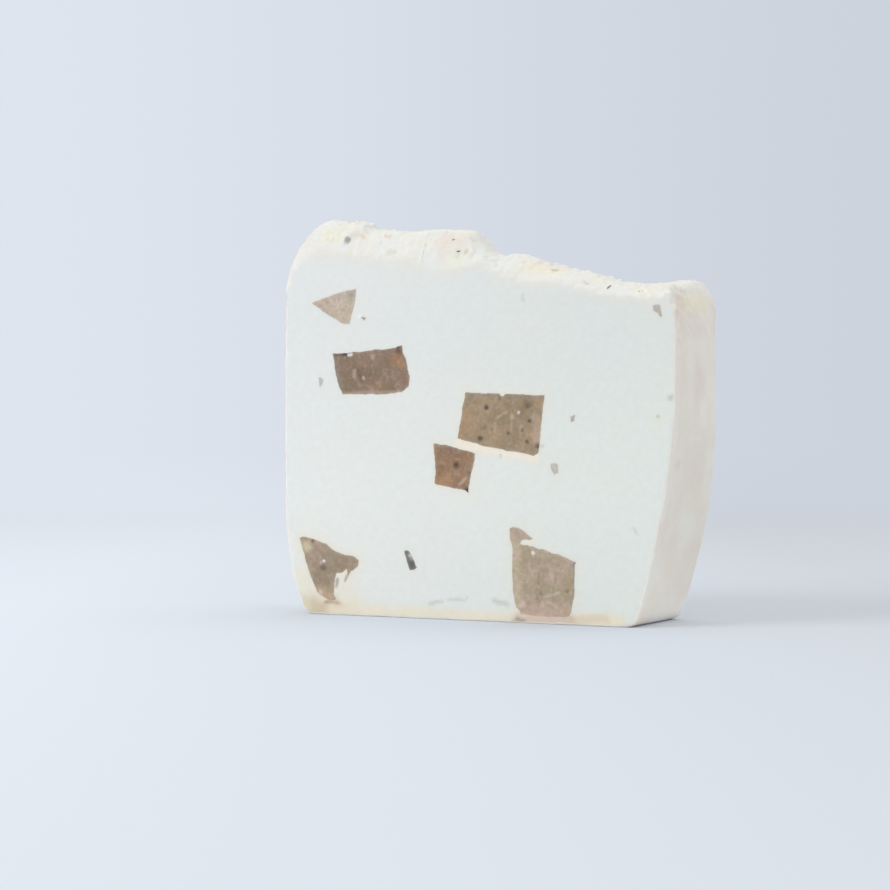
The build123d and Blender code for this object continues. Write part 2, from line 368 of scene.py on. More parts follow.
def right_end(height, y):
    """The right end's place across the bar: its inset is blended from the front cut's to the back's."""
    share = (y - front_cut) / bar_thickness
    base_inset, upright_height = (
        front + (back - front) * share for front, back in (right_base_inset, right_upright_height)
    )
    return right_side - end_inset(height, base_inset, upright_height, right_power)


print("base from %.1f to %.1f mm" % (left_end(0.0) / mm, right_end(0.0, front_cut) / mm))

# %% [markdown]
# The top is the part that was worked by hand. Three lines run across the bar: where the front cut
# meets the top, the crest a little behind it, and where the back cut meets the top. Each line is a
# short list of given places, joined by a cubic that never swings past them. From the front
# line the surface climbs to the crest as a quarter of a sine, and behind the crest it falls gently
# to the back line. Spoon marks are then taken away from it, and lumps are added to the crest.

# %% Lines across the top
def smooth_line(stations, places):
    """A monotone cubic through the stations: its slopes are harmonic means, zero at a turn."""
    knots, heights = np.array(stations, float).T
    spans = np.diff(knots)
    slopes = np.diff(heights) / spans
    product = slopes[:-1] * slopes[1:]
    total = slopes[:-1] + slopes[1:]
    inner = np.where(product > 0, 2 * product / np.where(total == 0, 1, total), 0.0)
    tangents = np.concatenate([slopes[:1], inner, slopes[-1:]])
    places = np.asarray(places, float)
    index = np.clip(np.searchsorted(knots, places, side="right") - 1, 0, len(spans) - 1)
    t = np.clip((places - knots[index]) / spans[index], 0.0, 1.0)
    start = (1 + 2 * t) * (1 - t) ** 2 * heights[index]
    start += t * (1 - t) ** 2 * spans[index] * tangents[index]
    end = t * t * (3 - 2 * t) * heights[index + 1]
    end += t * t * (t - 1) * spans[index] * tangents[index + 1]
    return start + end


def stations_from(pairs):
    """Pairs of (place from the left side, drop below the top) in mm, as places and heights."""
    return [(left_side + place * mm, bar_height - drop * mm) for place, drop in pairs]


crest_stations = stations_from(
    [(0, 0.3), (5.5, 0.1), (7.5, 0.1), (10.2, 0.7), (11.8, 1.3), (13.6, 0.9), (16.0, 1.2), (17.2, 2.3)]
    + [(20.2, 2.8), (24, 3.5), (27, 3.7), (31, 3.6), (35.6, 3.5), (38.6, 3.6), (40.2, 4.0), (41.5, 5.3)]
    + [(42.7, 6.7), (43.9, 7.8), (45.1, 8.7), (46.8, 9.3), (50.2, 9.1), (52.4, 9.7), (55, 10.4)]
    + [(59.3, 11.5), (61.9, 12.2), (64.3, 12.9), (67.3, 13.8), (70.5, 14.9), (74, 15.5), (78, 15.8)]
    + [(84, 15.6)]
)
front_stations = stations_from(
    [(0, 7.6), (4, 7.3), (9, 6.9), (13, 7.3), (17, 8.0), (23, 8.6), (27, 9.1), (30.2, 10.1), (33.3, 11.4)]
    + [(36.6, 11.6), (41, 11.1), (43.9, 10.7), (46, 12.0), (52.7, 14.2), (61.3, 15.1), (65.4, 16.2)]
    + [(70.4, 17.3), (73.4, 18.0), (78, 18.2), (84, 18.3)]
)
back_stations = stations_from(
    [(0, 5.2), (12, 4.4), (22, 4.8), (30, 5.4), (37.5, 9.2), (45, 10.6), (58, 12.8), (66, 14.2)]
    + [(73, 14.5), (77, 14.0), (84, 14.2)]
)
crest_setback = 6.0 * mm
crest_place = front_cut + crest_setback
print("crest at %.1f mm, %.1f mm behind the front cut" % (crest_place / mm, crest_setback / mm))

# %% The worked top
roll_front = 8.0 * mm, 7.4 * mm, 2.4 * mm, 6.0 * mm
roll_behind = 9.8 * mm, 9.2 * mm, 4.0 * mm, 7.0 * mm


def corner_roll(share, power):
    """How far a rolled corner has dropped, as a share of its drop: a rounded quarter."""
    share = np.clip(share, 0.0, 1.0)
    return 1 - (1 - share**power) ** (1 / power)


def side_roll(x, y):
    """The top's drop into each end. The roll is tight at the front cut and wider behind."""
    behind = smoothstep(y, front_cut, crest_place)
    left_width, left_drop, right_width, right_drop = (
        front + (back - front) * behind for front, back in zip(roll_front, roll_behind)
    )
    into_left = (left_side + left_width - x) / left_width
    into_right = (x - right_side + right_width) / right_width
    return left_drop * corner_roll(into_left, 1.8) + right_drop * corner_roll(into_right, 2.0)


def plain_top(x, y):
    """The top before the spoon: a quarter sine up to the crest, and a smoothstep to the back."""
    front = smooth_line(front_stations, x)
    crest = smooth_line(crest_stations, x)
    back = smooth_line(back_stations, x)
    climb = np.sin(math.pi / 2 * np.clip((y - front_cut) / crest_setback, 0.0, 1.0))
    fall = smoothstep(y, crest_place, back_cut)
    height = front + (crest - front) * climb
    return height + (back - crest) * fall


dish_start, dish_end = left_side + 8.0 * mm, left_side + 35.0 * mm
dish_middle_y, dish_width, dish_depth = front_cut + 13.4 * mm, 12.4 * mm, 2.6 * mm
trough_start, trough_end = left_side + 47.0 * mm, right_side - 2.0 * mm
trough_lines = (front_cut + 10.6 * mm, front_cut + 17.0 * mm)
trough_width, trough_depth = 6.8 * mm, 1.5 * mm


def spoon_marks(x, y):
    """What the spoon took away: a dish, one minus the squared distance, and two round troughs.

    Each mark also has a soft lip, a narrow ring that stands a little proud of the top.
    """
    along = (x - (dish_start + dish_end) / 2) / ((dish_end - dish_start) / 2)
    across = (y - dish_middle_y - 0.8 * mm * np.sin(x / (5.0 * mm))) / (dish_width / 2)
    reach = np.sqrt(along**2 + across**2)
    taken = dish_depth * np.clip(1 - reach**2, 0.0, None) ** 0.8
    taken = taken - 0.35 * mm * np.exp(-(((reach - 1.1) / 0.16) ** 2))
    for line in trough_lines:
        bend = 0.5 * mm * np.sin(x / (6.5 * mm) + line / mm)
        across = (y - line - bend) / (trough_width / 2)
        run = smoothstep(x, trough_start, trough_start + 7 * mm)
        run = run * (1 - smoothstep(x, trough_end - 7 * mm, trough_end))
        taken = taken + run * trough_depth * np.clip(1 - across**2, 0.0, None)
    return taken


def top_height(x, y):
    """The finished top without its crumbs."""
    return plain_top(x, y) - side_roll(x, y) - spoon_marks(x, y)


print("top at the middle of the crest: %.1f mm" % (top_height(0.0, crest_place) / mm))

# %% [markdown]
# The bar's rim is one surface of two parameters. The first runs once round the bar's outline: up the
# left end, over the top, down the right end and back along the base. The second runs from the front
# cut to the back cut. At both cuts the rim turns in by a quarter round, because a wire-cut edge is
# never quite sharp, and there its radius varies along the edge.

# %% The outline
def steps(start, end, size):
    """Evenly spaced places from start to end, about one size apart, both ends included."""
    return np.linspace(start, end, max(2, int(round(abs(end - start) / size)) + 1))


def rolled_steps(width, size):
    """Places through a rolled corner, closer together where it turns: width times (1 - sine)."""
    angle = np.linspace(0.0, math.pi / 2, int(round(width * 1.5 / size)) + 1)
    return width * (1 - np.sin(angle))


fine = 0.26 * mm
left_roll = left_side + rolled_steps(roll_behind[0], fine)[::-1]
right_roll = right_side - rolled_steps(roll_behind[2], fine)
across_top = np.concatenate(
    [left_roll, steps(left_roll[-1], right_roll[0], fine)[1:-1], right_roll]
)
foot_round = 2.4 * mm
foot_height = 0.35 * mm
end_share = np.linspace(0.0, 1.0, 92)
foot_angle = np.linspace(0.08, 1.0, 8)
base_share = np.linspace(0.0, 1.0, 52)


def foot(end_x, corner_x, side):
    """A foot's round from the end down to the base: a quadratic curve pulled to the corner."""
    t = foot_angle[:, None]
    x = (1 - t) ** 2 * end_x + 2 * t * (1 - t) * corner_x + t**2 * (corner_x - side * foot_round)
    return x, (1 - t) ** 2 * foot_round + 0 * x


def outline(y):
    """The bar's outline as x and z arrays of (places round the outline, rows).

    It is the left end, the top, the right end, the right foot, the base and the left foot. Each
    place has its own y in each row, because the rounds at the two cuts vary along the outline.
    """
    parts = np.split(y, np.cumsum(part_sizes)[:-1])
    left_y, top_y, right_y, right_foot_y, base_y, left_foot_y = parts
    top_x = across_top[:, None] + 0 * top_y
    top_z = top_height(top_x, top_y)
    left_z = foot_round + (top_height(left_side, left_y) - foot_round) * end_share[:-1, None]
    start_z = top_height(right_side, right_y)
    right_z = start_z + (foot_round - start_z) * end_share[1:, None]
    right_corner = right_end(foot_height, right_foot_y)
    right_foot_x, right_foot_z = foot(right_end(foot_round, right_foot_y), right_corner, 1)
    left_foot_x, left_foot_z = foot(left_end(foot_round), left_end(foot_height) + 0 * left_foot_y, -1)
    base_right = right_end(foot_height, base_y) - foot_round
    base_left = left_end(foot_height) + foot_round
    base_x = base_right + (base_left - base_right) * base_share[1:-1, None]
    x = [left_end(left_z), top_x, right_end(right_z, right_y), right_foot_x, base_x, left_foot_x[::-1]]
    z = [left_z, top_z, right_z, right_foot_z, 0 * base_x, left_foot_z[::-1]]
    return np.concatenate(x), np.concatenate(z)


part_sizes = [len(end_share) - 1, len(across_top), len(end_share) - 1]
part_sizes += [len(foot_angle), len(base_share) - 2, len(foot_angle)]
print("outline points:", sum(part_sizes))

# %% The rim
edge_round = 0.45 * mm
round_rows = 5
front_rows = steps(0.0, 7.5 * mm, 0.22 * mm)
middle_rows = np.concatenate([front_rows, steps(7.5 * mm, bar_thickness, 0.36 * mm)[1:]]) / bar_thickness
turn_in = np.linspace(0.0, math.pi / 2, round_rows)


def closed_slope(values):
    """Half the step from the point before to the point after, round a closed line."""
    return (np.roll(values, -1, axis=0) - np.roll(values, 1, axis=0)) / 2


def edge_radius(x, z, seed):
    """The cut edge's radius: larger and more ragged where the crumbly top was cut."""
    place = np.stack([x, z, 0 * x], axis=-1)
    rough = np.abs(layered_noise(place, 2.4 * mm, 3, seed))
    crumbly = smoothstep(z, 0.55 * bar_height, 0.8 * bar_height)
    return edge_round * (0.7 + (0.5 + 1.2 * crumbly) * rough)


def rim_surface():
    """The rim as points of (places, rows, 3), with the outward direction in the picture plane.

    The rows between the two rounds share out the thickness that the rounds leave. In a round, a
    row's distance from the cut and its inset from the outline follow a quarter circle.
    """
    ones = np.ones((sum(part_sizes), 1))
    plain_x, plain_z = outline(front_cut * ones)
    front_radius = edge_radius(plain_x, plain_z, 11)
    back_radius = edge_radius(plain_x, plain_z, 12)
    middle = bar_thickness - front_radius - back_radius
    start = front_cut + front_radius
    rounding = turn_in[None, :-1]
    y = np.concatenate(
        [
            start - front_radius * np.cos(rounding),
            start + middle * middle_rows[None, :],
            start + middle + back_radius * np.cos(rounding[:, ::-1]),
        ],
        axis=1,
    )
    inset = np.concatenate(
        [
            front_radius * (1 - np.sin(rounding)),
            0 * ones * middle_rows[None, :],
            back_radius * (1 - np.sin(rounding[:, ::-1])),
        ],
        axis=1,
    )
    x, z = outline(y)
    slope_x, slope_z = closed_slope(x), closed_slope(z)
    length = np.hypot(slope_x, slope_z)
    out_x, out_z = -slope_z / length, slope_x / length
    points = np.stack([x - inset * out_x, y, z - inset * out_z], axis=-1)
    outward = np.stack([out_x, 0 * out_x, out_z], axis=-1)
    return points, outward


rim_points, rim_outward = rim_surface()
print("rim grid:", rim_points.shape)

# %% [markdown]
# Crumbs and lumps come from moving the rim along its outward direction. The crest and the band in
# front of it are the roughest, because that soap was pushed up and broke as it set. The spoon left
# its hollows smooth, the tray left the ends nearly smooth, and the base is flat.

# %% Crumbs on the rim
lump_height, lump_cell = 0.30 * mm, 6.0 * mm
crumb_height, crumb_cell, small_crumb_cell = 0.34 * mm, 1.7 * mm, 0.9 * mm
grain_height, grain_cell = 0.10 * mm, 0.8 * mm
skin_height, skin_cell = 0.07 * mm, 5.0 * mm
patch_cell = 5.0 * mm


def top_roughness(points):
    """From 0 on the ends, base and spoon marks to 1 on the crest and the band in front of it."""
    x, y, z = np.moveaxis(points, -1, 0)
    high = smoothstep(z, 0.0, 1.0 * mm)
    surface = plain_top(x, y) - side_roll(x, y)
    near_top = 1 - smoothstep(surface - z, 2.0 * mm, 7.0 * mm)
    spooned = smoothstep(spoon_marks(x, y), 0.1 * mm, 0.8 * mm)
    behind = smoothstep(y, crest_place + 1.0 * mm, crest_place + 5.0 * mm)
    return high * near_top * (1 - 0.85 * spooned) * (1 - 0.55 * behind)


def rim_relief(points):
    """How far the rim moves outwards: lumps, round crumbs and grains, times the roughness.

    A faint unevenness of the skin is added everywhere but on the base.
    """
    rough = top_roughness(points)
    lumps = layered_noise(points, lump_cell, 3, 21)
    crumbs = crumb_noise(points, crumb_cell, 31) + 0.5 * crumb_noise(points, small_crumb_cell, 35) - 0.45
    grain = layered_noise(points, grain_cell, 2, 41)
    patches = 0.35 + 0.65 * smoothstep(smooth_noise(points, patch_cell, 45), -0.4, 0.3)
    on_top = rough * (lump_height * lumps + crumb_height * patches * crumbs + grain_height * grain)
    skin = skin_height * layered_noise(points, skin_cell, 3, 51)
    low = smoothstep(points[..., 2], 0.2 * mm, 2.5 * mm)
    return low * (on_top + skin)


rim_points = rim_points + rim_outward * rim_relief(rim_points)[..., None]
print("highest point: %.2f mm" % (rim_points[..., 2].max() / mm))

# %% [markdown]
# The two cut faces are flat, with the brown pieces let into them. A flat face with ragged holes is
# best filled by triangles between its borders: a constrained Delaunay triangulation keeps every
# border as an edge and spreads the rest evenly over a loose grid of inner points. The same filling
# gives the soap's face and each brown piece's face, so their seam has no gap. A triangle belongs to
# the piece whose border goes round its middle.

# %% Fill a cut face
def inside(points, loop):
    """Whether each point lies inside a closed loop: an odd number of edges crosses its height."""
    x, z = points[:, 0][:, None], points[:, 1][:, None]
    start, end = loop, np.roll(loop, -1, axis=0)
    crosses = (start[:, 1] > z) != (end[:, 1] > z)
    rise = np.where(end[:, 1] == start[:, 1], 1.0, end[:, 1] - start[:, 1])
    edge_x = start[:, 0] + (z - start[:, 1]) * (end[:, 0] - start[:, 0]) / rise
    return (crosses & (x < edge_x)).sum(axis=1) % 2 == 1


def far_from(points, border, gap):
    """Whether each point is at least a gap away from every border point."""
    far = np.ones(len(points), bool)
    for part in np.array_split(border, max(1, len(border) // 200)):
        distance = np.hypot(points[:, None, 0] - part[:, 0], points[:, None, 1] - part[:, 1])
        far &= distance.min(axis=1) > gap
    return far


def loose_grid(loop, size, seed):
    """Inner points: a grid of triangles, each point moved a little at random."""
    low, high = loop.min(axis=0), loop.max(axis=0)
    columns = np.arange(low[0], high[0], size)
    rows = np.arange(low[1], high[1], size * math.sqrt(3) / 2)
    x, z = np.meshgrid(columns, rows)
    x = x + (np.arange(len(rows)) % 2)[:, None] * size / 2
    points = np.stack([x.ravel(), z.ravel()], axis=1)
    return points + np.random.default_rng(seed).uniform(-0.12, 0.12, points.shape) * size


def inner_points(outer, holes, size, hole_size, seed):
    """A loose grid that is fine inside each hole and 1.4 mm round it, and coarse elsewhere."""
    reach = 1.4 * mm
    coarse = loose_grid(outer, size, seed)
    kept = inside(coarse, outer) & far_from(coarse, outer, 0.55 * size)
    parts = []
    taken = np.zeros(len(coarse), bool)
    for number, hole in enumerate(holes):
        taken |= inside(coarse, hole) | ~far_from(coarse, hole, reach)
        corners = np.array([hole.min(axis=0) - reach, hole.max(axis=0) + reach])
        fine_grid = loose_grid(corners, hole_size, seed + 1)
        near = inside(fine_grid, hole) | ~far_from(fine_grid, hole, reach - 0.3 * size)
        near &= inside(fine_grid, outer) & far_from(fine_grid, outer, 0.55 * hole_size)
        for other in [hole, *holes[:number], *holes[number + 1:]]:
            near &= far_from(fine_grid, other, 0.55 * hole_size)
        for earlier in holes[:number]:
            near &= ~inside(fine_grid, earlier) & far_from(fine_grid, earlier, reach)
        parts.append(fine_grid[near])
    return np.concatenate([coarse[kept & ~taken], *parts])


def fill_face(outer, holes, size, hole_size, seed):
    """Fills the outer loop and the holes with triangles.

    It returns the points (the outer loop, each hole's loop, then the inner points), the
    triangles, and for each triangle the number of its hole, or -1.
    """
    loops = [outer, *holes]
    points = np.concatenate([*loops, inner_points(outer, holes, size, hole_size, seed)])
    edges = []
    start = 0
    for loop in loops:
        count = len(loop)
        edges += [(start + index, start + (index + 1) % count) for index in range(count)]
        start += count
    scaled = [Vector(point) for point in (points / mm).tolist()]
    _, _, faces, sources, _, _ = delaunay_2d_cdt(scaled, edges, [], 0, 1e-6)
    source = np.array([group[0] if group else -1 for group in sources])
    triangles = source[np.array([list(face) for face in faces])]
    triangles = triangles[(triangles >= 0).all(axis=1)]
    middle = points[triangles].mean(axis=1)
    owner = np.full(len(triangles), -2)
    owner[inside(middle, outer)] = -1
    for number, hole in enumerate(holes):
        owner[inside(middle, hole)] = number
    kept = owner > -2
    return points, triangles[kept], owner[kept]


print("ready to fill the cut faces")

# %% [markdown]
# Each brown piece is a chip of the older soap, chopped with a knife before it was stirred in, and
# then cut once more by the wire. Knife cuts give straight sides and sharp corners, and here and
# there a side broke and is ragged. The corners below are shares of the width and height that
# the solid piece shows on the front face. Each side is then divided and shaken by fine noise.

# %% Outlines of the brown pieces
corner_shares = {
    "chunk_triangle": [(0, 0.64), (0.22, 0.74), (0.55, 0.87), (1, 1), (0.96, 0.52), (0.85, 0.0), (0.7, 0.03)]
    + [(0.52, 0.17), (0.25, 0.38)],
    "chunk_dark_brick": [(0, 0.86), (0.12, 0.86), (0.82, 0.95), (0.9, 1), (0.91, 0.85), (0.95, 0.72)]
    + [(0.97, 0.5), (1, 0.36), (0.985, 0.16), (0.9, 0.04), (0.7, 0.0), (0.13, 0.01), (0.06, 0.28)],
    "chunk_centre_slab": [(0.085, 0.985), (0.1, 1), (0.485, 0.97), (0.505, 0.93), (0.535, 0.93)]
    + [(0.555, 0.965), (1, 0.935), (0.97, 0.6), (0.945, 0.22), (0.93, 0.05), (0.88, 0.0), (0.8, 0.03)]
    + [(0.35, 0.14), (0.05, 0.25), (0, 0.27), (0.03, 0.5)],
    "chunk_small_cube": [(0, 1), (0.3, 0.97), (0.62, 0.88), (1, 0.8), (0.96, 0.55), (0.88, 0.28)]
    + [(0.84, 0.06), (0.86, 0.0), (0.72, 0.06), (0.45, 0.1), (0.03, 0.18), (0.04, 0.6)],
    "chunk_corner_shard": [(0, 0.98), (0.06, 1), (0.2, 0.97), (0.33, 0.93), (0.45, 0.9), (0.6, 0.78)]
    + [(0.78, 0.72), (0.9, 0.71), (1, 0.65), (0.99, 0.56), (0.87, 0.47), (0.82, 0.36), (0.8, 0.5)]
    + [(0.7, 0.44), (0.62, 0.42), (0.6, 0.3), (0.58, 0.1), (0.62, 0.02), (0.52, 0.0), (0.4, 0.05)]
    + [(0.3, 0.12), (0.22, 0.3), (0.1, 0.62)],
    "chunk_corner_block": [(0, 0.98), (0.05, 1), (0.16, 0.98), (0.25, 0.93), (0.36, 0.87), (0.3, 0.855)]
    + [(0.2, 0.86), (0.16, 0.82), (0.2, 0.8), (0.34, 0.79), (0.6, 0.73), (0.82, 0.68), (1, 0.62)]
    + [(0.98, 0.58), (0.97, 0.25), (0.93, 0.1), (0.9, 0.02), (0.6, 0.0), (0.18, 0.02), (0.1, 0.1)]
    + [(0.06, 0.25), (0.04, 0.5), (0.04, 0.78), (0.0, 0.88)],
    "dark_chip": [(0, 0.94), (0.2, 1), (0.36, 0.97), (0.7, 0.55), (1, 0.14), (0.8, 0.04), (0.43, 0)]
    + [(0.21, 0.41)],
    "crumb_left": [(0, 1), (0.5, 0.95), (1, 0.7), (0.7, 0.35), (0.25, 0)],
    "crumb_tiny": [(0, 0.9), (0.4, 1), (1, 0.8), (0.75, 0)],
    "crumb_top_right": [(0, 0.9), (0.3, 1), (0.78, 0.97), (0.85, 0.6), (1, 0.05), (0.8, 0), (0.56, 0.3)]
    + [(0.1, 0.5)],
    "crumb_middle_right": [(0, 0.71), (1, 1), (0.8, 0.14), (0.1, 0)],
    "crumb_lower_right": [(0, 0.91), (0.6, 1), (1, 0.8), (1, 0.17), (0.5, 0), (0.15, 0.35)],
}
ragged_cell = 1.3 * mm


def section_box(node, y):
    """The lowest and highest x and z of a solid piece where it meets a plane across the slice."""
    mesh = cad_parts[node].data
    points = np.zeros(len(mesh.vertices) * 3)
    mesh.vertices.foreach_get("co", points)
    points = points.reshape(-1, 3)
    flat = points[np.abs(points[:, 1] - y) < 0.05 * mm][:, [0, 2]]
    return flat.min(axis=0), flat.max(axis=0)


def ragged_loop(corners, low, high, size, shake, seed):
    """A closed outline: the corners in the box from low to high, its sides divided and shaken.

    One noise moves a point across and another moves it upwards. Both fade out towards the corners,
    so the corners stay sharp.
    """
    corners = low + np.array(corners) * (high - low)
    loop = []
    for start, end in zip(corners, np.roll(corners, -1, axis=0)):
        count = max(1, int(round(np.linalg.norm(end - start) / size)))
        share = np.arange(count)[:, None] / count
        side = start + (end - start) * share
        place = np.concatenate([side, np.zeros((count, 1))], axis=1)
        move = np.stack([layered_noise(place, ragged_cell, 3, seed + shift) for shift in (0, 9)], axis=1)
        hold = np.sqrt(np.clip(4 * share * (1 - share), 0.0, 1.0))
        loop.append(side + shake * move * hold)
    loop = np.concatenate(loop)
    area = (loop[:, 0] * np.roll(loop[:, 1], -1) - loop[:, 1] * np.roll(loop[:, 0], -1)).sum()
    return loop if area > 0 else loop[::-1]


brown_names = list(corner_shares)
front_loops = {}
inner_loops = {}
inner_y = {}
for number, name in enumerate(brown_names):
    node_low, node_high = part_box(name)
    is_small = name.startswith(("crumb", "dark"))
    size, shake = (0.2 * mm, 0.06 * mm) if is_small else (0.3 * mm, 0.13 * mm)
    front_box = section_box(name, front_cut)
    inner_box = section_box(name, node_high.y)
    front_loops[name] = ragged_loop(corner_shares[name], *front_box, size, shake, 100 + number)
    scale = (inner_box[1] - inner_box[0]) / (front_box[1] - front_box[0])
    inner_loops[name] = inner_box[0] + (front_loops[name] - front_box[0]) * scale
    inner_y[name] = node_high.y
    depth = (node_high.y - front_cut) / mm
    print("%-20s %3d outline points, %.1f mm deep" % (name, len(front_loops[name]), depth))

# %% [markdown]
# Now both cut faces can be filled. The long pieces run right through the slice, so the back face
# has holes for them too. A wire leaves very slight waves in a soft face, so each face moves by a
# few hundredths of a millimetre, soap and brown pieces together.

# %% Fill both cut faces
wave_height, wave_cell = 0.035 * mm, 9.0 * mm
through = [name for name in brown_names if back_cut - inner_y[name] < 0.1 * mm]
front_border = rim_points[:, 0][:, [0, 2]]
back_border = rim_points[:, -1][:, [0, 2]]
front_grid, front_hole_grid = 0.6 * mm, 0.27 * mm
back_grid, back_hole_grid = 1.0 * mm, 0.4 * mm
front_holes = [front_loops[name] for name in brown_names]
back_holes = [inner_loops[name] for name in through]
front_points, front_faces, front_owner = fill_face(
    front_border, front_holes, front_grid, front_hole_grid, 61
)
back_points, back_faces, back_owner = fill_face(back_border, back_holes, back_grid, back_hole_grid, 62)


def wire_wave(points, seed):
    """The cut face's slight waves, in metres outwards: twice as long upwards as across."""
    place = np.stack([points[:, 0], 0 * points[:, 0], points[:, 1] * 0.5], axis=1)
    return wave_height * layered_noise(place, wave_cell, 3, seed)


def at_depth(flat, y):
    """Flat points of x and z, with y put between them."""
    return np.stack([flat[:, 0], y + 0 * flat[:, 0], flat[:, 1]], axis=1)


front_3d = at_depth(front_points, front_cut - wire_wave(front_points, 71))
back_3d = at_depth(back_points, back_cut + wire_wave(back_points, 72))
print("front face: %d triangles, back face: %d" % (len(front_faces), len(back_faces)))

# %% [markdown]
# The white bar is put together from the rim, the two filled faces, and the walls of the pockets
# that the brown pieces sit in. Vertices on a shared border are used by both sides, so the bar is
# one closed shell.

# %% Put the white bar together
hidden_grid = 1.2 * mm
sharp_turn = math.radians(62.0)


def loop_wall(first, second):
    """Quads between two closed loops of vertex numbers, facing away from the loop's middle."""
    return np.stack([first, second, np.roll(second, -1), np.roll(first, -1)], axis=1)


def hidden_end(name):
    """The inner end of a piece that stops inside the bar: its points and triangles."""
    flat, triangles, _ = fill_face(inner_loops[name], [], hidden_grid, hidden_grid, 63)
    return at_depth(flat, inner_y[name]), triangles


def make_piece(name, points, faces):
    """A mesh object from points and a list of faces, smooth except at turns over sharp_turn."""
    mesh = bpy.data.meshes.new(name)
    mesh.from_pydata(np.asarray(points).tolist(), [], faces)
    mesh.validate()
    mesh.shade_smooth()
    mesh.set_sharp_from_angle(angle=sharp_turn)
    piece = bpy.data.objects.new(name, mesh)
    scene.collection.objects.link(piece)
    return piece


places, rows = rim_points.shape[:2]
grid = np.arange(places * rows).reshape(places, rows)
rim_flat = rim_points.reshape(-1, 3).copy()
rim_flat[grid[:, 0]] = front_3d[:places]
rim_flat[grid[:, -1]] = back_3d[:places]
next_grid = np.roll(grid, -1, axis=0)
rim_quads = np.stack([grid[:, :-1], next_grid[:, :-1], next_grid[:, 1:], grid[:, 1:]], axis=-1)

front_number = np.concatenate([grid[:, 0], len(rim_flat) + np.arange(len(front_3d) - places)])
body_points = np.concatenate([rim_flat, front_3d[places:]])
back_number = np.concatenate([grid[:, -1], len(body_points) + np.arange(len(back_3d) - places)])
body_points = np.concatenate([body_points, back_3d[places:]])
body_faces = rim_quads.reshape(-1, 4).tolist()
body_faces += front_number[front_faces[front_owner == -1]].tolist()
body_faces += back_number[back_faces[back_owner == -1]][:, ::-1].tolist()

front_start = places
back_start = places
for name in brown_names:
    count = len(front_loops[name])
    rim_numbers = front_number[front_start:front_start + count]
    front_start += count
    if name in through:
        inner_numbers = back_number[back_start:back_start + count]
        back_start += count
    else:
        inner_numbers = len(body_points) + np.arange(count)
        end_points, end = hidden_end(name)
        body_faces += (len(body_points) + end).tolist()
        body_points = np.concatenate([body_points, end_points])
    body_faces += loop_wall(rim_numbers, inner_numbers)[:, ::-1].tolist()

soap_bar = make_piece("soap_bar", body_points, body_faces)
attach(soap_bar, "root")
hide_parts("soap_body")
print("soap_bar: %d points, %d faces" % (len(soap_bar.data.vertices), len(soap_bar.data.polygons)))

# %% [markdown]
# A brown piece is its part of the front face, its side walls, and an inner end. It fills its pocket
# exactly. The long ones end in the back face, and take their part of it.

# %% Brown pieces
brown_slots = {
    "chunk_triangle": "pale_brown_soap",
    "chunk_dark_brick": "dark_brown_soap",
    "chunk_small_cube": "dark_brown_soap",
    "dark_chip": "dark_chip",
}
brown_pieces = {}
back_start = places
front_start = places
for number, name in enumerate(brown_names):
    count = len(front_loops[name])
    mine = front_faces[front_owner == number]
    own_border = np.arange(front_start, front_start + count)
    numbers, compact = np.unique(np.concatenate([mine.ravel(), own_border]), return_inverse=True)
    points = front_3d[numbers]
    faces = compact[: mine.size].reshape(-1, 3).tolist()
    rim_numbers = compact[mine.size:]
    if name in through:
        owner = through.index(name)
        end = back_faces[back_owner == owner]
        used = np.unique(np.concatenate([end.ravel(), np.arange(back_start, back_start + count)]))
        lookup = np.full(len(back_3d), -1)
        lookup[used] = np.arange(len(used)) + len(points)
        faces += lookup[end][:, ::-1].tolist()
        inner_numbers = lookup[np.arange(back_start, back_start + count)]
        back_start += count
        points = np.concatenate([points, back_3d[used]])
    else:
        end_points, end = hidden_end(name)
        inner_numbers = len(points) + np.arange(count)
        faces += (len(points) + end)[:, ::-1].tolist()
        points = np.concatenate([points, end_points])
    front_start += count
    faces += loop_wall(rim_numbers, inner_numbers).tolist()
    piece = make_piece("soap_" + name, points, faces)
    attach(piece, "root")
    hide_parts(name)
    brown_pieces[name] = piece
print("brown pieces:", len(brown_pieces))

# %% [markdown]
# Bits of dried herb fell on the top while it was soft and stuck there, half sunk. Each is a thin
# spindle that tapers to both ends. All of them are one mesh: the spindle is worked out once as rings
# of points, and then laid down at every place, along its own direction and square to the surface
# there. Four of them are where the photograph shows them in front of the crest, and the rest lie
# behind it, in and around the spoon's hollows, where they are paler.

# %% Herb flecks
fleck_rings = 5
fleck_sides = 6
fleck_half_width = 0.17 * mm
fleck_lift = 0.03 * mm
shown_flecks = [(-5.4, -7.8, 0.9, 0.1), (-3.5, -9.4, 0.9, 0.2)]
shown_flecks += [(28.2, -9.9, 1.3, 1.2), (34.4, -9.3, 1.3, 0.0)]
hidden_count = 20


def fleck_places():
    """Middle x and y, length and direction of every fleck, in metres and radians."""
    rng = np.random.default_rng(501)
    x = rng.uniform(left_side + 7 * mm, right_side - 7 * mm, hidden_count)
    y = rng.uniform(crest_place + 1.5 * mm, back_cut - 2.0 * mm, hidden_count)
    length = rng.uniform(0.7 * mm, 1.6 * mm, hidden_count)
    direction = rng.uniform(0.0, math.pi, hidden_count)
    shown = np.array(shown_flecks) * (mm, mm, mm, 1.0)
    return np.concatenate([shown, np.stack([x, y, length, direction], axis=1)])


def lumpy_height(x, y):
    """The top's height with its crumbs, taken straight upwards."""
    points = np.stack([x, y, top_height(x, y)], axis=-1)
    return points[..., 2] + rim_relief(points)


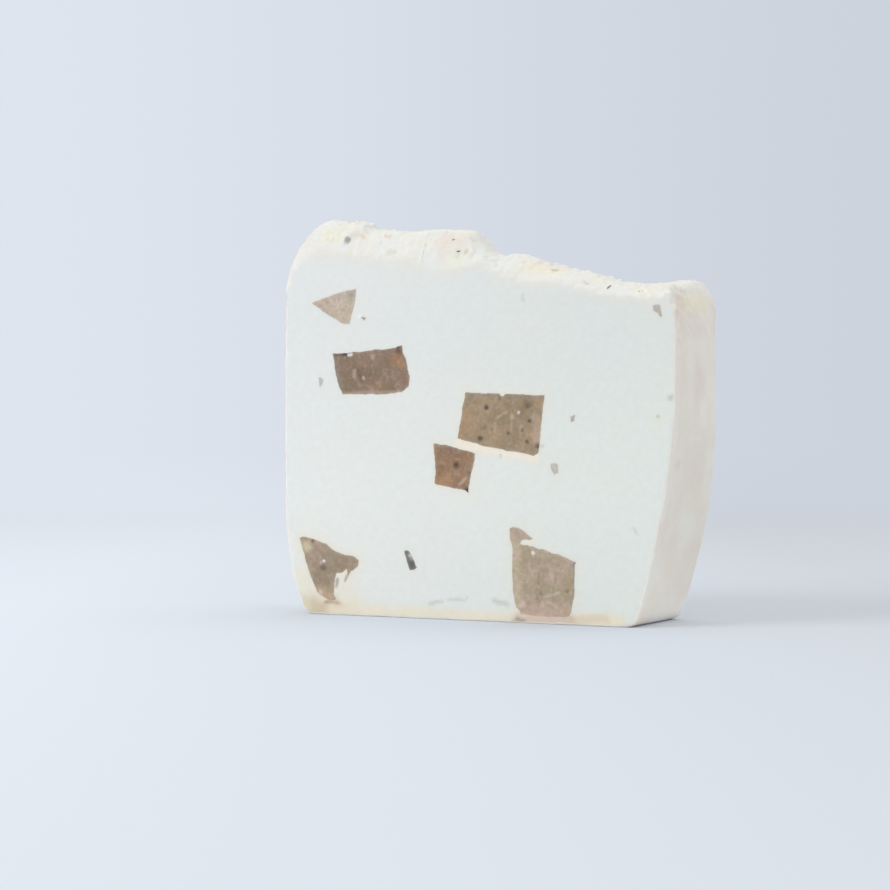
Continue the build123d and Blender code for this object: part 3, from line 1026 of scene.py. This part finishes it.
def fleck_points(places):
    """Spindles of (flecks, rings times sides plus two poles, 3).

    Along the spindle, the half width follows the square root of a half sine, and half as much
    upwards. The middle line follows the surface's slope.
    """
    x, y, length, direction = places.T[:, :, None]
    step = 0.3 * mm
    rise_x = (lumpy_height(x + step, y) - lumpy_height(x - step, y)) / (2 * step)
    rise_y = (lumpy_height(x, y + step) - lumpy_height(x, y - step)) / (2 * step)
    normal = np.concatenate([-rise_x, -rise_y, 1 + 0 * rise_x], axis=1)
    normal /= np.linalg.norm(normal, axis=1, keepdims=True)
    along = np.concatenate([np.cos(direction), np.sin(direction), 0 * direction], axis=1)
    along -= (along * normal).sum(axis=1, keepdims=True) * normal
    along /= np.linalg.norm(along, axis=1, keepdims=True)
    across = np.cross(normal, along)
    share = (np.arange(fleck_rings) + 1) / (fleck_rings + 1)
    angle = 2 * math.pi * np.arange(fleck_sides) / fleck_sides
    half = fleck_half_width * np.sqrt(np.sin(math.pi * share))[:, None]
    offset_along = np.append(np.repeat(share - 0.5, fleck_sides), [-0.5, 0.5])
    offset_across = np.append((half * np.cos(angle)).ravel(), [0.0, 0.0])
    offset_up = np.append((0.5 * half * np.sin(angle)).ravel(), [0.0, 0.0])
    middle = np.concatenate([x, y, lumpy_height(x, y) + fleck_lift], axis=1)[:, None]
    points = middle + along[:, None] * (length * offset_along)[..., None]
    return points + across[:, None] * offset_across[:, None] + normal[:, None] * offset_up[:, None]


def fleck_faces():
    """One spindle's faces: quads between its rings, and a fan of triangles at each pole."""
    ring = np.arange(fleck_rings * fleck_sides).reshape(fleck_rings, fleck_sides)
    after = np.roll(ring, -1, axis=1)
    quads = np.stack([ring[:-1], after[:-1], after[1:], ring[1:]], axis=-1).reshape(-1, 4)
    first = np.stack([np.full(fleck_sides, ring.size), after[0], ring[0]], axis=1)
    last = np.stack([np.full(fleck_sides, ring.size + 1), ring[-1], after[-1]], axis=1)
    return quads.tolist() + first.tolist() + last.tolist()


herb_places = fleck_places()
herb_points = fleck_points(herb_places)
points_each = herb_points.shape[1]
herb_faces = [
    [number * points_each + corner for corner in face]
    for number in range(len(herb_places)) for face in fleck_faces()
]
herb_flecks = make_piece("herb_flecks", herb_points.reshape(-1, 3), herb_faces)
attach(herb_flecks, "root")
print("herb flecks: %d, %d faces" % (len(herb_places), len(herb_faces)))

# %% [markdown]
# The bar's colour changes from place to place, so it is painted on the vertices and stored as a
# colour called tone. Painting works like a brush: a stroke is a line from one place to another
# with a width, and a dot is a stroke of no length. Inside a stroke the colour moves towards the
# brush's colour, by the stroke's strength, and its soft edge is shaken a little by noise.

# %% Brush
palette = {
    "black": (46, 38, 36),
    "dark": (84, 68, 58),
    "brown": (116, 92, 74),
    "orange": (184, 136, 92),
    "tan": (208, 182, 148),
    "pink": (206, 178, 164),
    "rose": (222, 204, 194),
    "cream": (214, 203, 190),
    "white": (240, 239, 234),
    "olive": (172, 160, 112),
    "moss": (146, 142, 118),
    "yellow": (232, 226, 190),
    "lime": (226, 229, 205),
    "grey": (176, 174, 168),
    "slate": (128, 126, 124),
    "purple": (122, 98, 110),
    "butter": (234, 226, 206),
    "straw": (206, 195, 162),
    "glow": (242, 231, 214),
}
palette = {name: np.array(linear(*colour)[:3]) for name, colour in palette.items()}


def stroke_cover(places, start, end, width, seed=0):
    """How much a stroke covers each place: 1 within it, a smoothstep to 0 over its soft edge.

    The distance is measured to the nearest point of the line from start to end.
    """
    start, end = np.array(start) * mm, np.array(end) * mm
    along = end - start
    share = np.clip(((places - start) @ along) / max(along @ along, 1e-12), 0.0, 1.0)
    distance = np.linalg.norm(places - start - share[:, None] * along, axis=1) / (width * mm)
    flat = np.concatenate([places, np.zeros((len(places), 1))], axis=1)
    distance = distance + 0.16 * smooth_noise(flat, 0.6 * width * mm, 200 + seed)
    return 1 - smoothstep(distance, 0.14, 0.86)


def paint(colours, places, strokes):
    """Lays strokes over the colours. A stroke is (x, z, x end, z end, width, colour, strength)."""
    for number, (x, z, end_x, end_z, width, name, strength) in enumerate(strokes):
        cover = strength * stroke_cover(places, (x, z), (end_x, end_z), width, number)
        colours = colours + cover[:, None] * (palette[name] - colours)
    return colours


def dots(rows):
    """Dots given as (x, z, width, colour, strength), turned into strokes of no length."""
    return [(x, z, x, z, width, name, strength) for x, z, width, name, strength in rows]


def tone_between(first, second, share):
    """A mix of two colours given in 0 to 255, by a share for each place."""
    first, second = np.array(linear(*first)[:3]), np.array(linear(*second)[:3])
    return first + (second - first) * np.asarray(share)[..., None]


def store_tone(piece, colours):
    """Writes one colour a vertex into the mesh, as an attribute that the material reads."""
    values = np.ones((len(piece.data.vertices), 4))
    values[:, :3] = np.clip(colours, 0.0, 1.0)
    tone = piece.data.color_attributes.new("tone", "FLOAT_COLOR", "POINT")
    tone.data.foreach_set("color", values.ravel())


print("brush colours:", len(palette))

# %% [markdown]
# The white soap has three surfaces. The cut faces are the whitest. The worked top dried in the air
# and is creamier, in patches. The ends touched the tray and are a warm, slightly blotched white.
# Brown soap bleeds a little, so the white round each brown piece is stained warm. Near the base
# the soap is painted warmer too, most of all at the left corner.

# %% Colours of the white soap
halo_strength = {
    "chunk_triangle": 0.12,
    "chunk_dark_brick": 0.2,
    "chunk_centre_slab": 0.5,
    "chunk_small_cube": 0.5,
    "chunk_corner_shard": 0.75,
    "chunk_corner_block": 0.45,
}
face_strokes = [
    (-37.6, 1.4, -31.0, 1.0, 4.6, "tan", 0.75),
    (-31.0, 1.0, -26.0, 0.8, 3.2, "tan", 0.45),
    (-32.4, 2.5, -29.6, 2.4, 0.6, "brown", 0.45),
    (-37.8, 3.2, -37.2, 1.4, 2.6, "lime", 0.5),
    (-38.4, 8.0, -36.6, 4.6, 2.6, "butter", 0.6),
    (-28.6, 6.0, -26.4, 2.6, 4.2, "butter", 0.6),
    (-31.0, 0.5, 31.0, 0.6, 3.2, "butter", 0.85),
    (9.8, 0.9, 20.6, 0.9, 1.9, "pink", 0.6),
    (21.4, 1.0, 27.8, 1.4, 1.6, "tan", 0.35),
    (-2.4, 34.3, 3.0, 33.3, 1.8, "glow", 0.9),
    (3.0, 33.2, 13.4, 31.6, 1.4, "glow", 0.8),
    (-29.7, 7.2, -30.0, 5.6, 0.6, "dark", 0.5),
    (-27.6, 8.0, -28.0, 6.9, 0.5, "dark", 0.5),
    (-30.0, 8.3, -28.4, 8.9, 1.5, "glow", 0.8),
    (-4.7, 4.0, -0.9, 4.2, 0.5, "slate", 0.22),
    (4.9, 4.1, 7.8, 3.5, 0.9, "moss", 0.3),
    (-9.0, 3.0, -6.4, 3.6, 0.7, "grey", 0.4),
    (9.9, 0.6, 11.4, 0.3, 0.9, "moss", 0.6),
    (11.0, 62.4, 11.2, 61.4, 0.6, "slate", 0.22),
    (33.1, 18.7, 34.3, 17.7, 0.4, "slate", 0.2),
    *dots([
        (38.4, 39.1, 0.7, "dark", 0.5), (38.0, 38.3, 1.8, "lime", 0.5), (40.9, 42.8, 1.1, "moss", 0.4),
        (6.3, 31.9, 0.7, "grey", 0.4), (15.0, 33.8, 0.7, "grey", 0.4), (-24.7, 59.6, 0.7, "white", 0.9),
        (11.8, 15.4, 1.5, "glow", 0.8), (-30.6, 5.4, 1.2, "glow", 0.6), (-28.2, 58.9, 2.2, "butter", 0.3),
    ]),
]
top_strokes = [
    (-28.5, -9.7, -27.8, -9.7, 0.65, "slate", 0.8),
    # The grey stroke from the slate smudge towards the back right is the smudge's painted shadow.
    (-28.2, -9.5, -26.8, -8.7, 1.2, "grey", 0.3),
    (-33.0, -9.1, -31.0, -9.1, 2.6, "yellow", 0.35),
    (-26.0, -8.5, -25.1, -8.5, 0.6, "tan", 0.6),
    (-20.6, -7.6, -19.6, -7.6, 0.7, "tan", 0.5),
    (-18.6, -10.3, -17.0, -10.2, 0.5, "grey", 0.35),
    (-6.8, -8.5, -3.4, -8.2, 3.8, "rose", 0.42),
    (-4.5, -10.3, -2.0, -10.2, 2.2, "lime", 0.4),
    (10.6, -8.6, 17.6, -8.6, 2.0, "yellow", 0.3),
    (16.1, -8.3, 16.8, -8.3, 0.7, "moss", 0.45),
    (22.9, -9.7, 23.8, -9.7, 0.6, "grey", 0.35),
    (33.8, -9.7, 35.0, -9.7, 0.8, "white", 0.6),
    (33.4, -9.2, 35.2, -9.2, 1.8, "butter", 0.4),
    *dots([(-1.8, -7.4, 0.7, "grey", 0.5), (-1.8, -9.5, 0.8, "moss", 0.45), (-3.5, -9.6, 1.2, "moss", 0.2)]),
]
end_strokes = [
    (-4.0, 60.5, 5.0, 61.0, 3.4, "yellow", 0.4),
    (-8.5, 61.0, -6.5, 61.0, 2.4, "rose", 0.5),
    (-10.0, 56.0, -10.0, 4.0, 1.6, "white", 0.35),
    (-2.6, 35.3, 3.0, 35.3, 1.1, "white", 0.3),
    (-7.0, 23.0, -7.0, 20.4, 1.0, "white", 0.25),
    *dots([
        (-7.2, 30.3, 2.2, "tan", 0.25), (2.0, 46.0, 6.0, "rose", 0.3), (-3.0, 14.0, 6.0, "rose", 0.25),
        (-5.0, 38.0, 5.0, "lime", 0.3), (4.0, 24.0, 6.0, "lime", 0.3),
    ]),
]


def border_distance(places, loop):
    """The distance from each place to the nearest point of a closed line."""
    nearest = np.full(len(places), 1.0)
    for part in np.array_split(loop, max(1, len(loop) // 60)):
        gap = np.hypot(places[:, None, 0] - part[:, 0], places[:, None, 1] - part[:, 1])
        nearest = np.minimum(nearest, gap.min(axis=1))
    return nearest


def cut_face_colours(points, loops):
    """The cut face: a very pale grey green, a little deeper towards the top, and darker towards the right as
    painted shade.

    Along the worked top it fades into cream, and round the brown pieces it is stained.
    """
    places = points[:, [0, 2]]
    # Painted shade: the face darkens a little from left to right, adding to the window lamp's fall-off.
    across = smoothstep(places[:, 0], left_side, right_side)
    colours = tone_between((230, 232, 229), (226, 230, 225), across)
    high = smoothstep(places[:, 1], 20 * mm, 62 * mm)[:, None]
    colours = colours * (1 - high * np.array([0.05, 0.05, 0.04]))
    below_top = np.clip(smooth_line(front_stations, places[:, 0]) - places[:, 1], 0.0, None)
    cream = 0.75 * np.exp(-below_top / (0.9 * mm))[:, None]
    colours = colours + cream * (palette["glow"] * 0.93 - colours)
    drift = smooth_noise(points, 14 * mm, 301)[:, None]
    colours = colours * (1 + 0.012 * drift * np.array([1.0, 0.2, -0.8]))
    for name, loop in loops.items():
        strength = halo_strength.get(name, 0.15)
        gap = border_distance(places, loop) / mm
        shake = 1 + 0.5 * smooth_noise(points, 2.0 * mm, 310)
        stain = strength * np.exp(-gap / (0.9 * shake))
        colours = colours + stain[:, None] * (palette["butter"] - colours)
    return colours


def worked_top_colours(points):
    """The worked top: cream, with pinkish, yellowish and whiter patches, and more tan the deeper the spoon's
    hollows go.
    """
    patch = smooth_noise(points, 5.0 * mm, 321) + 0.4 * smooth_noise(points, 2.0 * mm, 322)
    colours = tone_between((224, 226, 222), (226, 225, 218), smoothstep(patch, -0.5, 0.5))
    blush = smoothstep(smooth_noise(points, 7.0 * mm, 331), 0.1, 0.7)
    colours = colours + 0.25 * blush[:, None] * (palette["rose"] - colours)
    hollow = smoothstep(spoon_marks(points[:, 0], points[:, 1]), 0.6 * mm, 2.4 * mm)
    return colours + 0.35 * hollow[:, None] * (palette["tan"] - colours)


def tray_skin_colours(points):
    """The ends and the base: a warm blotched white, made a little whiter at the foot by painted bounce light.
    """
    blotch = smooth_noise(points, 9.0 * mm, 341) + 0.5 * smooth_noise(points, 3.5 * mm, 342)
    colours = tone_between((236, 232, 223), (231, 223, 213), smoothstep(blotch, -0.6, 0.6))
    # Painted bounce light: the skin is made up to a tenth lighter towards the foot.
    foot = 1 - smoothstep(points[:, 2], 3 * mm, 18 * mm)
    return colours * (1 + 0.1 * foot[:, None])


rim_flat_points = rim_points.reshape(-1, 3)
upward = smoothstep(rim_outward[..., 2].ravel(), 0.25, 0.75)[:, None]
rim_colours = tray_skin_colours(rim_flat_points)
rim_colours = paint(rim_colours, rim_flat_points[:, [1, 2]], end_strokes)
top_colours = paint(worked_top_colours(rim_flat_points), rim_flat_points[:, [0, 1]], top_strokes)
rim_colours = rim_colours + upward * (top_colours - rim_colours)
front_colours = paint(cut_face_colours(front_3d, front_loops), front_points, face_strokes)
back_colours = cut_face_colours(back_3d, {name: inner_loops[name] for name in through})
body_colours = np.tile(palette["butter"], (len(soap_bar.data.vertices), 1))
body_colours[:len(rim_colours)] = rim_colours
body_colours[front_number] = front_colours
body_colours[back_number] = back_colours
store_tone(soap_bar, body_colours)
print("white soap painted:", body_colours.mean(axis=0).round(3))

# %% [markdown]
# The brown soap is an older bar with its own seeds in it. Each piece has a tone of its own, clouded
# by noise, and a few marks that the knife, the wire and the seeds left. Its border took up some
# white soap, so it is a little paler there.

# %% Colours of the brown pieces
brown_tones = {
    "chunk_triangle": ((194, 176, 162), (180, 168, 148)),
    "chunk_dark_brick": ((140, 116, 98), (127, 108, 84)),
    "chunk_centre_slab": ((164, 140, 113), (147, 129, 102)),
    "chunk_small_cube": ((156, 122, 94), (136, 110, 85)),
    "chunk_corner_shard": ((167, 146, 128), (151, 134, 112)),
    "chunk_corner_block": ((184, 163, 146), (168, 152, 128)),
    "dark_chip": ((84, 83, 80), (114, 113, 109)),
    "crumb_left": ((196, 197, 190), (188, 189, 183)),
    "crumb_tiny": ((158, 160, 150), (136, 140, 130)),
    "crumb_top_right": ((189, 182, 172), (179, 172, 161)),
    "crumb_middle_right": ((180, 178, 168), (170, 168, 158)),
    "crumb_lower_right": ((192, 190, 180), (182, 181, 171)),
}
brown_strokes = {
    "chunk_triangle": [
        (-31.2, 63.0, -30.4, 62.2, 0.5, "rose", 0.5),
        (-29.8, 62.8, -29.5, 59.9, 0.5, "rose", 0.4),
        (-29.0, 63.6, -28.7, 61.4, 0.5, "rose", 0.3),
        (-34.6, 61.8, -31.6, 62.6, 2.2, "pink", 0.4),
        (-30.4, 60.0, -27.6, 58.0, 2.0, "olive", 0.25),
        *dots([
            (-33.8, 61.9, 0.9, "brown", 0.2), (-32.2, 62.6, 1.1, "brown", 0.25),
            (-26.4, 64.3, 2.0, "slate", 0.35),
        ]),
    ],
    "chunk_dark_brick": [
        (-30.3, 52.1, -27.6, 52.1, 0.8, "dark", 0.6),
        (-28.3, 52.2, -27.8, 52.2, 0.7, "black", 0.75),
        (-27.1, 51.9, -26.5, 52.0, 0.5, "white", 0.8),
        (-16.1, 53.3, -15.9, 51.6, 1.3, "dark", 0.8),
        (-16.0, 51.4, -15.3, 49.9, 1.3, "orange", 0.45),
        (-25.2, 49.0, -24.0, 46.6, 0.6, "dark", 0.4),
        (-25.8, 48.8, -25.9, 47.6, 0.8, "pink", 0.4),
        (-30.5, 51.6, -29.0, 44.6, 0.9, "slate", 0.3),
        (-29.6, 48.4, -28.8, 45.6, 1.3, "moss", 0.25),
        (-29.0, 44.3, -14.6, 44.4, 0.7, "pink", 0.3),
        *dots([
            (-15.9, 53.7, 1.0, "black", 0.9), (-23.8, 47.3, 0.7, "rose", 0.5),
            (-21.8, 51.5, 1.1, "pink", 0.4), (-16.9, 50.4, 2.4, "orange", 0.2),
            (-20.7, 45.6, 3.0, "orange", 0.15),
        ]),
    ],
    "chunk_centre_slab": [
        (-1.7, 43.9, 15.4, 43.1, 0.5, "slate", 0.4),
        (-2.4, 37.4, -2.9, 35.4, 0.6, "purple", 0.35),
        (-1.4, 40.5, -2.0, 36.6, 2.6, "orange", 0.2),
        (13.8, 39.0, 14.1, 34.6, 2.0, "pink", 0.35),
        (5.4, 39.1, 7.6, 40.4, 0.5, "pink", 0.35),
        (5.1, 38.2, 5.1, 36.4, 0.5, "pink", 0.3),
        (8.6, 38.6, 8.5, 36.6, 0.5, "pink", 0.3),
        (10.6, 37.6, 10.5, 35.6, 0.6, "rose", 0.2),
        *dots([
            (3.2, 41.2, 0.9, "black", 0.8), (12.0, 41.5, 2.2, "dark", 0.35), (11.9, 41.5, 0.9, "dark", 0.45),
            (6.1, 42.9, 0.8, "dark", 0.45), (12.3, 38.6, 0.7, "black", 0.75), (10.8, 36.8, 0.7, "dark", 0.7),
            (7.9, 36.3, 0.7, "dark", 0.75), (2.7, 37.4, 1.0, "brown", 0.4), (1.9, 35.2, 1.0, "black", 0.85),
            (1.9, 35.2, 1.9, "brown", 0.3), (11.9, 34.6, 0.7, "black", 0.7), (14.1, 33.8, 0.9, "black", 0.7),
            (10.1, 40.2, 0.5, "white", 0.7), (8.7, 39.3, 1.1, "cream", 0.35), (13.1, 32.5, 1.3, "moss", 0.35),
        ]),
    ],
    "chunk_small_cube": [
        (-4.5, 33.2, -4.5, 32.3, 0.5, "purple", 0.6),
        (-2.4, 26.4, -1.1, 27.6, 0.6, "pink", 0.5),
        (-7.6, 34.0, 0.6, 33.1, 0.6, "moss", 0.4),
        (-0.2, 30.5, -0.8, 28.6, 1.4, "moss", 0.3),
        *dots([
            (-3.2, 30.1, 1.3, "dark", 0.75), (-3.3, 30.2, 0.7, "black", 0.6),
            (-0.8, 25.1, 1.4, "black", 0.85), (-6.0, 27.2, 3.0, "orange", 0.35),
            (-0.4, 28.6, 0.8, "dark", 0.5), (-5.6, 31.0, 2.4, "orange", 0.15),
        ]),
    ],
    "chunk_corner_shard": [
        (-32.2, 2.7, -29.8, 2.7, 0.6, "brown", 0.6),
        (-33.6, 4.4, -31.4, 3.6, 2.4, "tan", 0.4),
        (-32.2, 12.6, -30.8, 11.0, 1.2, "moss", 0.35),
        *dots([
            (-36.8, 13.6, 2.2, "straw", 0.75), (-35.5, 14.7, 0.7, "dark", 0.7),
            (-32.9, 10.7, 0.6, "white", 0.85), (-33.5, 10.2, 0.6, "cream", 0.6),
            (-32.9, 9.3, 1.3, "dark", 0.65), (-33.5, 4.2, 1.0, "cream", 0.6),
        ]),
    ],
    "chunk_corner_block": [
        (8.2, 17.8, 11.6, 16.8, 1.8, "pink", 0.15),
        (14.3, 9.2, 14.2, 7.4, 0.6, "brown", 0.2),
        (17.9, 9.8, 17.8, 7.9, 0.6, "brown", 0.2),
        (15.6, 5.2, 18.4, 6.0, 0.5, "cream", 0.35),
        (16.0, 4.4, 17.8, 3.4, 0.5, "cream", 0.3),
        (9.6, 14.7, 9.9, 3.0, 1.6, "straw", 0.35),
        (21.8, 11.8, 21.2, 2.5, 0.5, "slate", 0.4),
        (11.0, 2.2, 20.4, 2.2, 2.4, "pink", 0.4),
        *dots([
            (13.1, 13.4, 0.7, "white", 0.9), (20.1, 6.4, 0.8, "dark", 0.5), (14.7, 5.8, 0.8, "dark", 0.35),
            (13.9, 4.8, 0.7, "dark", 0.35), (20.7, 7.9, 0.8, "orange", 0.35), (10.9, 3.6, 1.3, "rose", 0.6),
            (15.0, 3.6, 1.0, "rose", 0.35), (21.5, 11.4, 1.1, "slate", 0.5),
        ]),
    ],
    "dark_chip": dots([(-12.9, 11.9, 1.1, "grey", 0.8), (-13.4, 12.3, 0.6, "white", 0.6)]),
}


def seed_dots(points, count, seed):
    """Dark seed dots at random vertices of a piece's back, where nothing is known of them."""
    rng = np.random.default_rng(seed)
    behind = points[points[:, 1] > back_cut - 0.5 * mm]
    if len(behind) == 0:
        return []
    chosen = behind[rng.integers(0, len(behind), count)] / mm
    widths = rng.uniform(0.6, 1.2, count)
    return dots([(x, z, width, "black", 0.7) for (x, _, z), width in zip(chosen, widths)])


for number, (name, piece) in enumerate(brown_pieces.items()):
    points = np.zeros(len(piece.data.vertices) * 3)
    piece.data.vertices.foreach_get("co", points)
    points = points.reshape(-1, 3)
    places = points[:, [0, 2]]
    cloud = smooth_noise(points, 3.0 * mm, 401 + number) + 0.5 * layered_noise(points, 1.0 * mm, 2, 421)
    colours = tone_between(*brown_tones[name], smoothstep(cloud, -0.7, 0.7))
    vein = 1 - smoothstep(np.abs(layered_noise(points, 1.6 * mm, 2, 441 + number)), 0.0, 0.16)
    colours = colours + 0.14 * vein[:, None] * (palette["cream"] - colours)
    edge = 0.3 * np.exp(-border_distance(places, front_loops[name]) / (0.22 * mm))
    colours = colours + edge[:, None] * (palette["cream"] - colours)
    in_front = (points[:, 1] < front_cut + 0.5 * mm)[:, None]
    marked = paint(colours, places, brown_strokes.get(name, []))
    behind = paint(colours, places, seed_dots(points, 5, 430 + number))
    store_tone(piece, np.where(in_front, marked, behind))
print("brown pieces painted:", len(brown_pieces))

# %% Colours of the herb flecks
herb_mix = np.random.default_rng(502).uniform(0.0, 1.0, len(herb_places))
herb_colours = tone_between((150, 138, 112), (184, 174, 146), herb_mix)
herb_colours[:len(shown_flecks)] = palette["brown"]
store_tone(herb_flecks, np.repeat(herb_colours, points_each, axis=0))
print("herb flecks painted:", len(herb_colours))

# %% [markdown]
# Soap is a waxy solid. Light goes a little way in before it comes out again, which softens small
# shadows, so the shader has some subsurface. Fine grain comes from a bump, and a fine speckle makes
# the painted colour lighter and darker. The speckle is faint in the white soap and plain in the
# brown, which is an older and coarser soap.

# %% Materials
def soap_material(name, subsurface, roughness, grain_size, grain_strength, speckle_size, speckle_depth):
    """A matt waxy finish: the painted tone, made lighter and darker by a fine speckle."""
    material = bpy.data.materials.new(name)
    material.use_nodes = True
    tree = material.node_tree
    shader = tree.nodes["Principled BSDF"]
    shader.inputs["Roughness"].default_value = roughness
    shader.inputs["Subsurface Weight"].default_value = subsurface
    shader.inputs["Subsurface Radius"].default_value = (1.0, 0.8, 0.6)
    shader.inputs["Subsurface Scale"].default_value = 0.9 * mm
    shader.inputs["Specular IOR Level"].default_value = 0.35
    tone = tree.nodes.new("ShaderNodeAttribute")
    tone.attribute_name = "tone"
    place = tree.nodes.new("ShaderNodeTexCoord").outputs["Object"]
    speckle = add_node(
        tree, "ShaderNodeTexNoise", vector=place, scale=1 / speckle_size, detail=4.0, roughness=0.6
    )
    shade = add_node(
        tree, "ShaderNodeMapRange", value=speckle.outputs["Fac"], from_min=0.3, from_max=0.7,
        to_min=1 - speckle_depth, to_max=1 + speckle_depth,
    )
    scaled = add_node(
        tree, "ShaderNodeVectorMath", "SCALE", in_0=tone.outputs["Color"], in_3=shade.outputs["Result"]
    )
    tree.links.new(scaled.outputs["Vector"], shader.inputs["Base Color"])
    grain = add_node(tree, "ShaderNodeTexNoise", vector=place, scale=1 / grain_size, detail=3.0)
    bump = add_node(
        tree, "ShaderNodeBump",
        strength=grain_strength, distance=0.05 * mm, height=grain.outputs["Fac"],
    )
    tree.links.new(bump.outputs["Normal"], shader.inputs["Normal"])
    return material


white_material = soap_material(
    "white_soap", subsurface=0.35, roughness=0.55,
    grain_size=0.4 * mm, grain_strength=0.2, speckle_size=1.2 * mm, speckle_depth=0.02,
)
herb_material = soap_material(
    "dried_herb", subsurface=0.0, roughness=0.7,
    grain_size=0.2 * mm, grain_strength=0.3, speckle_size=0.3 * mm, speckle_depth=0.15,
)
brown_materials = {
    slot: soap_material(
        slot, subsurface=0.1, roughness=0.5,
        grain_size=0.3 * mm, grain_strength=0.3, speckle_size=0.7 * mm, speckle_depth=0.12,
    )
    for slot in ("pale_brown_soap", "brown_soap", "dark_brown_soap", "dark_chip")
}
soap_bar.data.materials.append(white_material)
herb_flecks.data.materials.append(herb_material)
for name, piece in brown_pieces.items():
    piece.data.materials.append(brown_materials[brown_slots.get(name, "brown_soap")])
print("materials:", len(bpy.data.materials))
